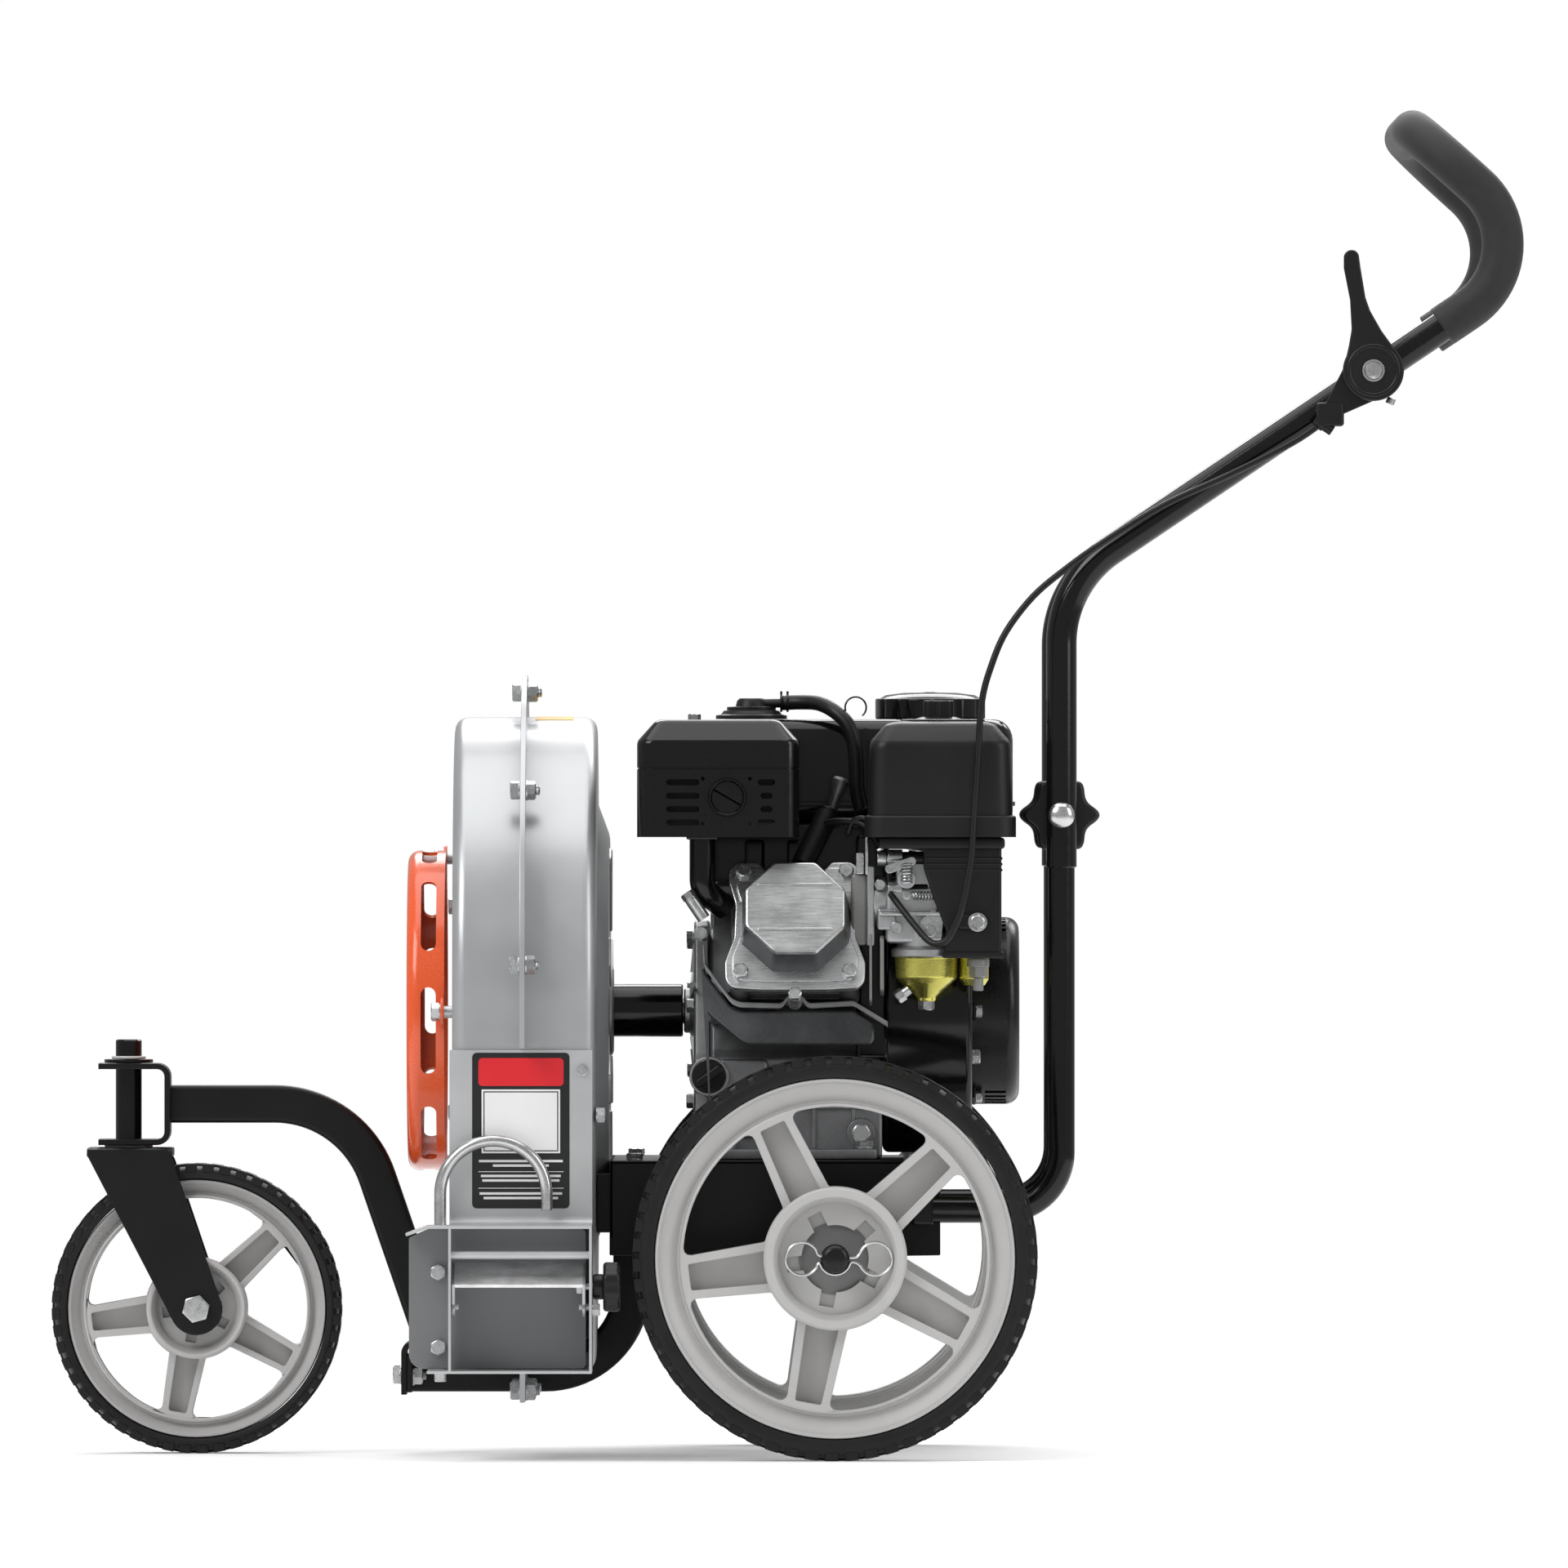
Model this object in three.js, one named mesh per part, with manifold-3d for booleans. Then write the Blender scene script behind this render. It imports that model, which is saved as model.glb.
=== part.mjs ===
// Walk-behind leaf blower: a petrol engine on a three-wheeled frame drives a fan in a sheet-steel scroll.
// Millimetres. +X runs back to the handle, -Y is the discharge side, +Z is up, and the wheels stand on Z = 0.
import * as THREE from "three";
import { mergeVertices } from "three/addons/utils/BufferGeometryUtils.js";
import Module from "manifold-3d";

const wasm = await Module();
wasm.setup();

const DEG = Math.PI / 180;

// ---------------------------------------------------------------- driving dimensions

const gap = 0.3; // left between pieces that touch
const sheet = 2; // housing and chute sheet
const shaftZ = 336; // height of the fan shaft

const rear = { x: 38, y: 235, radius: 152, axle: 10, track: 560 };
rear.z = rear.radius;
rear.rim = { lip: 135.5, inner: 114, half: 20, hub: 53.6, hubIn: -24, hubOut: 30, bore: 10.6 };
rear.spoke = { wide: 38, narrow: 32, flange: 6.5, half: 17 };
rear.tyreHalf = 22;
rear.segments = 28;

const front = { x: -446, y: 0, radius: 110, axle: 6 };
front.z = front.radius;
front.rim = { lip: 98.2, inner: 83.8, half: 19, hub: 38, hubIn: -29.5, hubOut: 29.5, bore: 6.5 };
front.spoke = { wide: 27, narrow: 22, flange: 4.5, half: 15 };
front.tyreHalf = 23;
front.segments = 24;

const firstSpoke = 43.4; // degrees up from +X
const spokes = 5;

const kingpin = { x: -498, radius: 10, bottom: 232 + gap, top: 314 };
const bracket = { front: -520.5, rear: -466, low: 234, high: 296, plate: 4.4, half: 25 };
const fork = { top: 232, plate: 7, inner: 32, leg: 4 };

const bar = { size: 28.5, wall: 2.5 }; // square tube of the frame
const deck = { front: -131.8, rear: 117.5, top: 224, half: 160, skirt: 152.8, plate: 3 };

const handle = { y: 171, lower: 10, lowerWall: 1.6, upper: 11.5, upperWall: 0.9, x: 208.6, boltZ: 484.5 };
const grip = { inner: 12.45, outer: 15.9 };

const fan = { front: -250, split: -197, rear: -142, dish: -132.4, impeller: 158, inlet: 95 };
const scroll = { radius: 204, growth: 18.5, floor: 66.2, flange: 32, foot: 42.6 };

const duct = { front: -251.8, rear: -144.3, low: 66.2, high: 176.8, mouth: -278, wall: -204 };
const flap = { x: -258.5, y: -218, front: -282, rear: -149, low: 68.8, high: 174.2 };
flap.near = -224.7;
flap.far = -222.7;
const vane = { y: -255, z: 116, front: -249.3, rear: -149.1, plate: 2.4, knobZ: 131 };
const pin = { radius: 4.5, bend: 40, low: 58.6, high: 200, tip: 187 };

const guard = { front: -285.5, rear: -257, radius: 121.5, wall: 2.5, slots: 8 };

const engine = { tilt: -25, front: -56, rear: 74, base: deck.top + gap };
const muffler = { x0: -111, x1: 11, y0: -185, y1: -64, z0: 468, z1: 556.5 };
const cleaner = { x0: 61.7, x1: 173, y0: -190, y1: -64, z0: 468, z1: 557 };
const tank = { x0: -60, x1: 175, y0: -48, y1: 130, z0: 478, z1: 557, wall: 1.6 };
const cap = { x: 111, y: 40, radius: 42, top: 578 };
const vent = { x: -25, y: -18, radius: 27, top: 573 };
const recoil = { radius: 71, front: 142 + gap, rear: 178, angle: 30, x: 161 };
const oilCap = { x: -57, z: 287, radius: 13, face: -98 };

const throttle = { x: 443, z: 819, radius: 23, mountY: -191, leverY: -198 };

// ---------------------------------------------------------------- materials

function finish(color, roughness, metalness = 0) {
  return new THREE.MeshStandardMaterial({ color, roughness, metalness });
}

const paintBlack = finish(0x191919, 0.35, 0.2);
const housingGray = finish(0xb4b6b8, 0.45, 0.3);
const wheelGray = finish(0xd1cdcc, 0.55);
const tyreRubber = finish(0x2b2b2b, 0.85);
const gripFoam = finish(0x303030, 0.9);
const guardOrange = finish(0xe06644, 0.4);
const plasticBlack = finish(0x1f1f1f, 0.5);
const castAluminium = finish(0x8c8e90, 0.5, 0.8);
const brushedSteel = finish(0xb9bbbd, 0.35, 0.9);
const chromeSteel = finish(0xd8d8d8, 0.15, 1);
const zincYellow = finish(0xa9a54b, 0.4, 0.7);
const hoseRubber = finish(0x222222, 0.7);

// ---------------------------------------------------------------- solids

// A closed three.js geometry as a solid that can be joined and cut.
function solid(geometry, matrix) {
  const loose = geometry.index ? geometry.toNonIndexed() : geometry;
  const bare = new THREE.BufferGeometry();
  bare.setAttribute("position", loose.getAttribute("position"));
  if (matrix) bare.applyMatrix4(matrix);
  const merged = mergeVertices(bare, 1e-4);
  const corners = merged.index.array;
  const faces = [];
  for (let i = 0; i < corners.length; i += 3) {
    const [a, b, c] = corners.slice(i, i + 3);
    if (a !== b && b !== c && c !== a) faces.push([a, b, c]);
  }
  const vertProperties = merged.attributes.position.array;
  const build = (list) => {
    const triVerts = new Uint32Array(list.flat());
    return new wasm.Manifold(new wasm.Mesh({ numProp: 3, vertProperties, triVerts }));
  };
  const body = build(faces);
  return body.volume() >= 0 ? body : build(faces.map(([a, b, c]) => [a, c, b]));
}

function geometryOf(body) {
  const mesh = body.getMesh();
  const geometry = new THREE.BufferGeometry();
  geometry.setAttribute("position", new THREE.BufferAttribute(mesh.vertProperties, 3));
  geometry.setIndex(new THREE.BufferAttribute(mesh.triVerts, 1));
  return geometry;
}

function join(...bodies) {
  return bodies.flat().reduce((whole, body) => whole.add(body));
}

function cut(body, ...tools) {
  return tools.flat().reduce((rest, tool) => rest.subtract(tool), body);
}

function box(x0, x1, y0, y1, z0, z1) {
  const geometry = new THREE.BoxGeometry(x1 - x0, y1 - y0, z1 - z0);
  return solid(geometry.translate((x0 + x1) / 2, (y0 + y1) / 2, (z0 + z1) / 2));
}

// How a geometry made along Y turns to lie along each axis.
const turnTo = {
  X: new THREE.Matrix4().makeRotationZ(-90 * DEG),
  Y: new THREE.Matrix4(),
  Z: new THREE.Matrix4().makeRotationX(90 * DEG),
};

// A profile of [radius, distance along the axis] turned about the axis through the centre.
function turned(axis, profile, centre = [0, 0, 0], sides = 16) {
  const points = profile.map(([radius, along]) => new THREE.Vector2(radius, along));
  const matrix = new THREE.Matrix4().makeTranslation(...centre).multiply(turnTo[axis]);
  return solid(new THREE.LatheGeometry(points, sides), matrix);
}

function rod(axis, radius, from, to, centre, sides) {
  return turned(axis, [[0, from], [radius, from], [radius, to], [0, to]], centre, sides);
}

function ring(axis, inner, outer, from, to, centre, sides) {
  const profile = [[inner, from], [outer, from], [outer, to], [inner, to], [inner, from]];
  return turned(axis, profile, centre, sides);
}

// How a flat outline's own axes lie when it is extruded along each axis.
const along = { x: new THREE.Vector3(1, 0, 0), y: new THREE.Vector3(0, 1, 0), z: new THREE.Vector3(0, 0, 1) };
const layOn = {
  X: new THREE.Matrix4().makeBasis(along.y, along.z, along.x),
  Y: new THREE.Matrix4().makeBasis(along.x, along.z, along.y.clone().negate()),
  Z: new THREE.Matrix4(),
};

// An outline (Y-Z for X, X-Z for Y, X-Y for Z) extruded along an axis from one place to another.
function plate(axis, outline, from, to) {
  const shape = new THREE.Shape(outline.map(([u, v]) => new THREE.Vector2(u, v)));
  const geometry = new THREE.ExtrudeGeometry(shape, { depth: to - from, bevelEnabled: false });
  const shift = { X: [from, 0, 0], Y: [0, to, 0], Z: [0, 0, from] }[axis];
  return solid(geometry, new THREE.Matrix4().makeTranslation(...shift).multiply(layOn[axis]));
}

// Corners given as [u, v, radius], each rounded by an arc of a few steps.
function rounded(corners, steps = 4) {
  const points = corners.map(([u, v]) => new THREE.Vector2(u, v));
  return corners.flatMap(([u, v, radius], i) => {
    if (!radius) return [[u, v]];
    const before = points.at(i - 1).clone().sub(points[i]).normalize();
    const after = points[(i + 1) % points.length].clone().sub(points[i]).normalize();
    const half = Math.acos(before.dot(after)) / 2;
    const middle = before.clone().add(after).normalize().multiplyScalar(radius / Math.sin(half));
    const centre = points[i].clone().add(middle);
    const start = points[i].clone().addScaledVector(before, radius / Math.tan(half)).sub(centre);
    const end = points[i].clone().addScaledVector(after, radius / Math.tan(half)).sub(centre);
    const sweep = Math.atan2(start.cross(end), start.dot(end));
    return Array.from({ length: steps + 1 }, (_, k) => {
      const spot = start.clone().rotateAround(new THREE.Vector2(), (sweep * k) / steps).add(centre);
      return [spot.x, spot.y];
    });
  });
}

function rectangle(u0, u1, v0, v1, radius = 0, steps = 3) {
  return rounded([[u0, v0, radius], [u1, v0, radius], [u1, v1, radius], [u0, v1, radius]], steps);
}

// Points of a round stretch from one angle to another, in degrees.
function arc(u, v, radius, from, to, steps) {
  return Array.from({ length: steps + 1 }, (_, k) => {
    const angle = (from + ((to - from) * k) / steps) * DEG;
    return [u + radius * Math.cos(angle), v + radius * Math.sin(angle)];
  });
}

// A part of a flat ring between two angles, as an outline.
function sector(u, v, inner, outer, from, to, steps = 1) {
  return [...arc(u, v, outer, from, to, steps), ...arc(u, v, inner, to, from, steps)];
}

// ---------------------------------------------------------------- tubes

// Straight runs joined by round bends: corners are [x, y, z, bend radius], the ends without a radius.
class BentPath extends THREE.Curve {
  constructor(corners, bendSteps = 3) {
    super();
    const points = corners.map(([x, y, z]) => new THREE.Vector3(x, y, z));
    const towards = (from, to) => points[to].clone().sub(points[from]).normalize();
    this.stations = corners.flatMap(([, , , radius], i) => {
      if (i === 0) return [{ point: points[0], along: towards(0, 1) }];
      if (i === corners.length - 1) return [{ point: points[i], along: towards(i - 1, i) }];
      const into = towards(i - 1, i);
      const out = towards(i, i + 1);
      const turn = into.angleTo(out);
      const inward = out.clone().addScaledVector(into, -into.dot(out)).normalize();
      const start = points[i].clone().addScaledVector(into, -radius * Math.tan(turn / 2));
      const centre = start.clone().addScaledVector(inward, radius);
      return Array.from({ length: bendSteps + 1 }, (_, k) => {
        const angle = (turn * k) / bendSteps;
        const spoke = inward.clone().multiplyScalar(-Math.cos(angle)).addScaledVector(into, Math.sin(angle));
        const along = into.clone().multiplyScalar(Math.cos(angle)).addScaledVector(inward, Math.sin(angle));
        return { point: centre.clone().addScaledVector(spoke, radius), along };
      });
    });
  }
  station(u) {
    return this.stations[Math.round(u * (this.stations.length - 1))];
  }
  getPoint(u) {
    return this.station(u).point.clone();
  }
  getPointAt(u) {
    return this.getPoint(u);
  }
  getTangent(u) {
    return this.station(u).along.clone();
  }
  getTangentAt(u) {
    return this.getTangent(u);
  }
}

// A flat section, with an optional hole, swept along a path in that many steps.
function sweep(section, path, steps = path.stations.length - 1) {
  return solid(new THREE.ExtrudeGeometry(section, { extrudePath: path, steps, bevelEnabled: false }));
}

function polygon(radius, sides) {
  const step = 360 / sides;
  return Array.from({ length: sides }, (_, k) => {
    const angle = (k + 0.5) * step * DEG;
    return new THREE.Vector2(radius * Math.cos(angle), radius * Math.sin(angle));
  });
}

function tubeSection(outer, inner, sides = 8) {
  const section = new THREE.Shape(polygon(outer, sides));
  if (inner) section.holes.push(new THREE.Path(polygon(inner, sides)));
  return section;
}

function squareSection() {
  const corner = (bar.size / 2) * Math.SQRT2;
  return tubeSection(corner, corner - bar.wall * Math.SQRT2, 4);
}

// ---------------------------------------------------------------- scene

const group = new THREE.Group();

function add(name, body, material, parent = group) {
  const mesh = new THREE.Mesh(geometryOf(body), material);
  mesh.name = name;
  parent.add(mesh);
}

const sides = { left: -1, right: 1 };

// ---------------------------------------------------------------- wheels

// A moulded wheel centred on its own Y axis, with its open hub towards -Y.
function rim(size, spoke, segments) {
  const { lip, inner, half, hub, hubIn, hubOut, bore } = size;
  const parts = [ring("Y", inner, lip, -half, half, [0, 0, 0], segments)];
  parts.push(rod("Y", hub, -hubOut, -hubIn, [0, 0, 0], segments));
  for (let k = 0; k < spokes; k++) parts.push(spokeChannel(size, spoke, firstSpoke + (k * 360) / spokes));
  return cut(join(parts), rod("Y", bore, -60, 60, [0, 0, 0], 16));
}

// One spoke: a channel open towards the hub's open side.
function spokeChannel({ inner, hub }, { wide, narrow, flange, half }, angle) {
  const from = hub - 4;
  const to = inner + 2;
  const blade = [[from, -wide / 2], [to, -narrow / 2], [to, narrow / 2], [from, wide / 2]];
  const pocket = [
    [hub + 1, flange - wide / 2],
    [to - 4, flange - narrow / 2],
    [to - 4, narrow / 2 - flange],
    [hub + 1, wide / 2 - flange],
  ];
  const channel = cut(
    plate("Y", blade, -half, half),
    plate("Y", pocket, -half - 1, -2),
  );
  return solid(geometryOf(channel), new THREE.Matrix4().makeRotationY(-angle * DEG));
}

function tyre(size, radius, half, segments) {
  const seat = size.lip + gap + 0.1;
  const profile = [
    [seat, -half],
    [radius - 6, -half],
    [radius, 7 - half],
    [radius, half - 7],
    [radius - 6, half],
    [seat, half],
    [seat, -half],
  ];
  return turned("Y", profile, [0, 0, 0], segments);
}

function rearWheel(name, side) {
  const wheel = new THREE.Group();
  wheel.position.set(rear.x, side * rear.y, rear.z);
  group.add(wheel);
  const recess = rod("Y", 42, -31, -15, [0, 0, 0], rear.segments);
  const body = cut(rim(rear.rim, rear.spoke, rear.segments), recess);
  // The open side is turned outwards on both wheels, with their spokes in line.
  const turn = new THREE.Matrix4().makeScale(1, -side, 1);
  add(`rear_rim_${name}`, solid(geometryOf(body), turn), wheelGray, wheel);
  add(`rear_tyre_${name}`, tyre(rear.rim, rear.radius, rear.tyreHalf, rear.segments), tyreRubber, wheel);
}

// A bow-tie wire spring: a loop on each side of the axle and a saddle under it.
function wheelClip(name, side) {
  const loop = 12.5;
  const reach = 27;
  const left = arc(-reach, 0, loop, 15, 315, 8);
  const saddle = arc(0, 0, rear.axle + 2, 215, 325, 3);
  const right = left.map(([x, z]) => [-x, z]).reverse();
  const route = [...left, ...saddle, ...right].map(([x, z]) => new THREE.Vector3(x, 0, z));
  const clip = new THREE.Group();
  clip.position.set(rear.x, side * (rear.y + 27), rear.z);
  group.add(clip);
  const wire = sweep(tubeSection(1.2, 0, 5), new THREE.CatmullRomCurve3(route), 26);
  add(`wheel_clip_${name}`, wire, chromeSteel, clip);
}

function frontWheel() {
  const wheel = new THREE.Group();
  wheel.position.set(front.x, front.y, front.z);
  group.add(wheel);
  add("front_rim", rim(front.rim, front.spoke, front.segments), wheelGray, wheel);
  add("front_tyre", tyre(front.rim, front.radius, front.tyreHalf, front.segments), tyreRubber, wheel);
}

function frontAxle() {
  const face = fork.inner + fork.leg + gap;
  const at = [front.x, 0, front.z];
  const shaft = rod("Y", front.axle, -face - 1, face + 1, at, 16);
  const head = rod("Y", 11, -face - 8, -face, at, 6);
  const nut = rod("Y", 11, face, face + 10, at, 6);
  add("front_axle", join(shaft, head, nut), brushedSteel);
}

// ---------------------------------------------------------------- caster

function casterFork() {
  const back = fork.top - 1;
  const outline = [
    [-528.6, back],
    [-467.8, back],
    [-463.4, 222],
    [-427.5, 116],
    ...arc(front.x, front.z, 20, 18, -148, 7),
    [-528.6, 226],
  ];
  const outer = fork.inner + fork.leg;
  const legs = [plate("Y", outline, -outer, -fork.inner), plate("Y", outline, fork.inner, outer)];
  const crown = box(-529, -464, -outer, outer, fork.top - fork.plate, fork.top);
  const hole = rod("Y", front.axle + 0.5, -60, 60, [front.x, 0, front.z], 16);
  add("caster_fork", cut(join(crown, legs), hole), paintBlack);
}

function casterKingpin() {
  const { x, radius, bottom, top } = kingpin;
  const profile = [
    [0, bottom],
    [18.6, bottom],
    [18.6, bracket.low - gap],
    [radius, bracket.low - gap],
    [radius, bracket.high + gap],
    [18.7, bracket.high + gap],
    [18.7, bracket.high + gap + 2.8],
    [13, bracket.high + gap + 2.8],
    [13, bracket.high + gap + 5],
    [radius, bracket.high + gap + 5],
    [radius, top - 1.5],
    [radius - 1.5, top],
    [0, top],
  ];
  add("kingpin", turned("Z", profile, [x, 0, 0], 14), paintBlack);
}

function casterBracket() {
  const { front: nose, rear: web, low, high, plate: thick, half } = bracket;
  const outer = rounded([[nose, low], [web, low, 10], [web, high, 10], [nose, high]]);
  const hollow = rounded([
    [nose - 1, low + thick],
    [web - thick, low + thick, 5.6],
    [web - thick, high - thick, 5.6],
    [nose - 1, high - thick],
  ]);
  const body = cut(plate("Y", outer, -half, half), plate("Y", hollow, -half - 1, half + 1));
  const bore = rod("Z", kingpin.radius + 0.7, 200, 320, [kingpin.x, 0, 0], 16);
  add("caster_bracket", cut(body, bore), paintBlack);
}

// ---------------------------------------------------------------- frame

const flangeHalf = 42;

function frontArm() {
  const path = new BentPath([[bracket.rear + gap, 0, 265], [-328.4, 0, 265, 82], [-263, 0, 75.1]]);
  const tube = cut(sweep(squareSection(), path), box(-330, -200, -30, 30, 50, 84));
  const outline = rounded([
    [-290.5, 45],
    [-286.3, 45],
    [-286.3, 80.7, 4],
    [-252, 80.7],
    [-252, 85],
    [-290.5, 85, 8],
  ]);
  const holes = [-27, 27].map((y) => rod("X", 4.5, -300, -280, [0, y, 56.5], 12));
  add("front_arm", cut(join(tube, plate("Y", outline, -flangeHalf, flangeHalf)), holes), paintBlack);
}

function spineBeam() {
  const path = new BentPath([[-284, 0, 61], [-115.7, 0, 61, 65.7], [-115.7, 0, deck.top - deck.plate - gap]]);
  const face = cut(box(-286, -282, -flangeHalf, flangeHalf, 46.8, 75.3), box(-300, -270, -11, 11, 50, 72));
  const holes = [-27, 27].map((y) => rod("X", 4.5, -300, -280, [0, y, 56.5], 12));
  add("spine_beam", cut(join(sweep(squareSection(), path), face), holes), paintBlack);
}

function engineDeck() {
  const { front: nose, rear: tail, top, half, skirt, plate: thick } = deck;
  const under = top - thick;
  const parts = [box(nose, tail, -half, half, under, top)];
  parts.push(box(nose, nose + thick, -half, half, 165, top));
  for (const side of Object.values(sides)) {
    const [y0, y1] = side < 0 ? [-half, thick - half] : [half - thick, half];
    parts.push(box(nose, tail, y0, y1, skirt, top));
    parts.push(rod("Y", 24, y0, y1, [rear.x, 0, rear.z], 16));
    const [b0, b1] = side < 0 ? [-158, -125] : [125, 158];
    parts.push(box(fan.rear + gap, nose + 1, b0, b1, 170, 214));
  }
  const axleHole = rod("Y", rear.axle + 0.7, -half - 1, half + 1, [rear.x, 0, rear.z], 12);
  const notch = box(nose - 1, nose + 8, -15.2, 15.2, 150, under);
  add("engine_deck", cut(join(parts), axleHole, notch), paintBlack);
}

function rearAxle() {
  const half = rear.track / 2;
  const tip = rear.axle - 1.5;
  const end = half - 1.5;
  const profile = [[0, -half], [tip, -half], [rear.axle, -end], [rear.axle, end], [tip, half], [0, half]];
  add("rear_axle", turned("Y", profile, [rear.x, 0, rear.z], 20), paintBlack);
}

// ---------------------------------------------------------------- handle

function lowerHandle(name, side) {
  const y = side * handle.y;
  const path = new BentPath([[90, y, 187.6], [handle.x, y, 187.6, 43], [handle.x, y, 505]]);
  const bolt = rod("Y", 4.5, -200, 200, [handle.x, 0, handle.boltZ], 12);
  const tube = sweep(tubeSection(handle.lower, handle.lower - handle.lowerWall), path);
  add(`lower_handle_${name}`, cut(tube, bolt), paintBlack);
}

// The side run's corners, from the clamp up to the crossbar.
const handleCorners = [[handle.x, 445], [handle.x, 659, 85], [577.4, 907.6, 59], [474.3, 1001, 57]];

function handlePath(corners) {
  const left = corners.map(([x, z, bend]) => [x, -handle.y, z, bend]);
  const right = corners.map(([x, z, bend]) => [x, handle.y, z, bend]).reverse();
  return new BentPath([...left, ...right]);
}

function upperHandle() {
  const tube = sweep(tubeSection(handle.upper, handle.upper - handle.upperWall), handlePath(handleCorners));
  const bolt = rod("Y", 4.5, -200, 200, [handle.x, 0, handle.boltZ], 12);
  add("upper_handle", cut(tube, bolt), paintBlack);
}

function handleGrip() {
  const start = [495.2, 852.2];
  const path = handlePath([start, ...handleCorners.slice(2)]);
  add("handle_grip", sweep(tubeSection(grip.outer, grip.inner, 10), path), gripFoam);
}

function handleBolt(name, side) {
  const bolt = new THREE.Group();
  bolt.position.set(handle.x, side * handle.y, handle.boltZ);
  bolt.rotation.z = side > 0 ? Math.PI : 0;
  group.add(bolt);
  const face = -handle.upper - gap;
  const dome = [[0, face - 6.5], [5, face - 5.8], [8.5, face - 3.6], [10, face], [4, face], [4, 34], [0, 34]];
  add(`handle_bolt_${name}`, turned("Y", dome, [0, 0, 0], 16), chromeSteel, bolt);
  const lobes = 6;
  const star = Array.from({ length: lobes * 4 }, (_, k) => {
    const angle = k * 15;
    const radius = 25.5 + 3.5 * Math.cos(lobes * angle * DEG);
    return [radius * Math.cos(angle * DEG), radius * Math.sin(angle * DEG)];
  });
  const body = join(plate("Y", star, 16, 30), rod("Y", 12, handle.upper + gap, 16, [0, 0, 0], 18));
  add(`handle_knob_${name}`, cut(body, rod("Y", 4.4, 0, 40, [0, 0, 0], 16)), plasticBlack, bolt);
}

// ---------------------------------------------------------------- throttle

function throttleMount() {
  const { x, z, mountY, leverY } = throttle;
  const outline = [
    ...arc(x, z, 21, -62, 160, 12),
    [408, 796],
    [399, 789],
    [404, 779],
  ];
  const back = -handle.y - handle.upper - gap;
  const post = rod("Y", 4, leverY - 1, mountY, [x, 0, z], 16);
  const screw = rod("Y", 7.2, leverY - 3.2, leverY - gap, [x, 0, z], 16);
  add("throttle_mount", join(plate("Y", outline, mountY, back), post, screw), plasticBlack);
}

function throttleLever() {
  const { x, z, radius, mountY, leverY } = throttle;
  const outline = [
    ...arc(x, z, radius, 152, 408, 18),
    [447, 852],
    [439, 866],
    [436, 874],
    [433.5, 896],
    ...arc(426.5, 904, 5.6, 20, 180, 5),
    [420.8, 896],
    [425.4, 872],
    [426.8, 850],
    [425.5, 838],
  ];
  const body = plate("Y", outline, leverY, mountY - gap);
  add("throttle_lever", cut(body, rod("Y", 4.5, -210, -180, [x, 0, z], 16)), plasticBlack);
}

function throttleCable() {
  const route = [
    [403, -187.5, 778.5],
    [381, -189, 764],
    [334.5, -190, 740.5],
    [285, -190, 717.5],
    [238.5, -190, 689],
    [210.5, -191, 669],
    [187, -192, 649],
    [167, -194, 623],
    [156, -196, 598],
    [148.5, -197, 570],
    [145.5, -197, 527],
    [142.5, -197, 483],
    [140, -197, 450],
    [133, -197, 414],
    [124.5, -196, 393.5],
    [116, -194, 388],
    [108, -190, 390.5],
    [96.5, -182, 403.5],
    [84.5, -172, 419],
    [80, -164, 425],
  ].map(([x, y, z]) => new THREE.Vector3(x, y, z));
  const path = new THREE.CatmullRomCurve3(route);
  add("throttle_cable", sweep(tubeSection(2.5, 0, 6), path, 34), hoseRubber);
}

// ---------------------------------------------------------------- fan housing

// The scroll grows from the discharge side over the top, then runs flat to the duct.
function scrollOutline(inset) {
  const { radius, growth, floor } = scroll;
  const points = [];
  for (let turn = 0; turn <= 270; turn += 15) {
    const reach = radius + (growth * turn) / 90 - inset;
    points.push([-reach * Math.cos(turn * DEG), shaftZ + reach * Math.sin(turn * DEG)]);
  }
  const low = points.at(-1)[1];
  points.push([-18, low], [-75, floor + inset], [inset - radius, floor + inset]);
  return points;
}

function splitFlange(x0, x1) {
  const clearances = [
    box(x0 - 1, x1 + 1, -20, 20, 0, 100),
    box(x0 - 1, x1 + 1, -300, -scroll.radius, 0, 310),
    box(x0 - 1, x1 + 1, -300, 300, 0, scroll.foot),
  ];
  const inner = plate("X", scrollOutline(1), x0 - 1, x1 + 1);
  return cut(plate("X", scrollOutline(-scroll.flange), x0, x1), inner, clearances);
}

// The fan's discharge passes out sideways, or forwards when the flap is swung in.
function dischargeCuts() {
  const { low, high, wall } = duct;
  const side = box(fan.front + sheet, fan.rear - sheet, wall - 5, wall + 12, low + sheet, high + 1);
  const ahead = box(fan.front - 1, fan.front + sheet + 0.5, wall - 5, -105, low + sheet, high + 1);
  return [side, ahead];
}

function housingFrontShell() {
  const face = fan.split - gap / 2;
  const outer = plate("X", scrollOutline(0), fan.front, face);
  const inner = plate("X", scrollOutline(sheet), fan.front + sheet, face + 1);
  const inlet = rod("X", fan.inlet, fan.front - 1, fan.front + 3, [0, 0, shaftZ], 24);
  const body = join(cut(outer, inner), splitFlange(face - sheet, face));
  add("housing_front_shell", cut(body, inlet, dischargeCuts()), housingGray);
}

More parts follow.
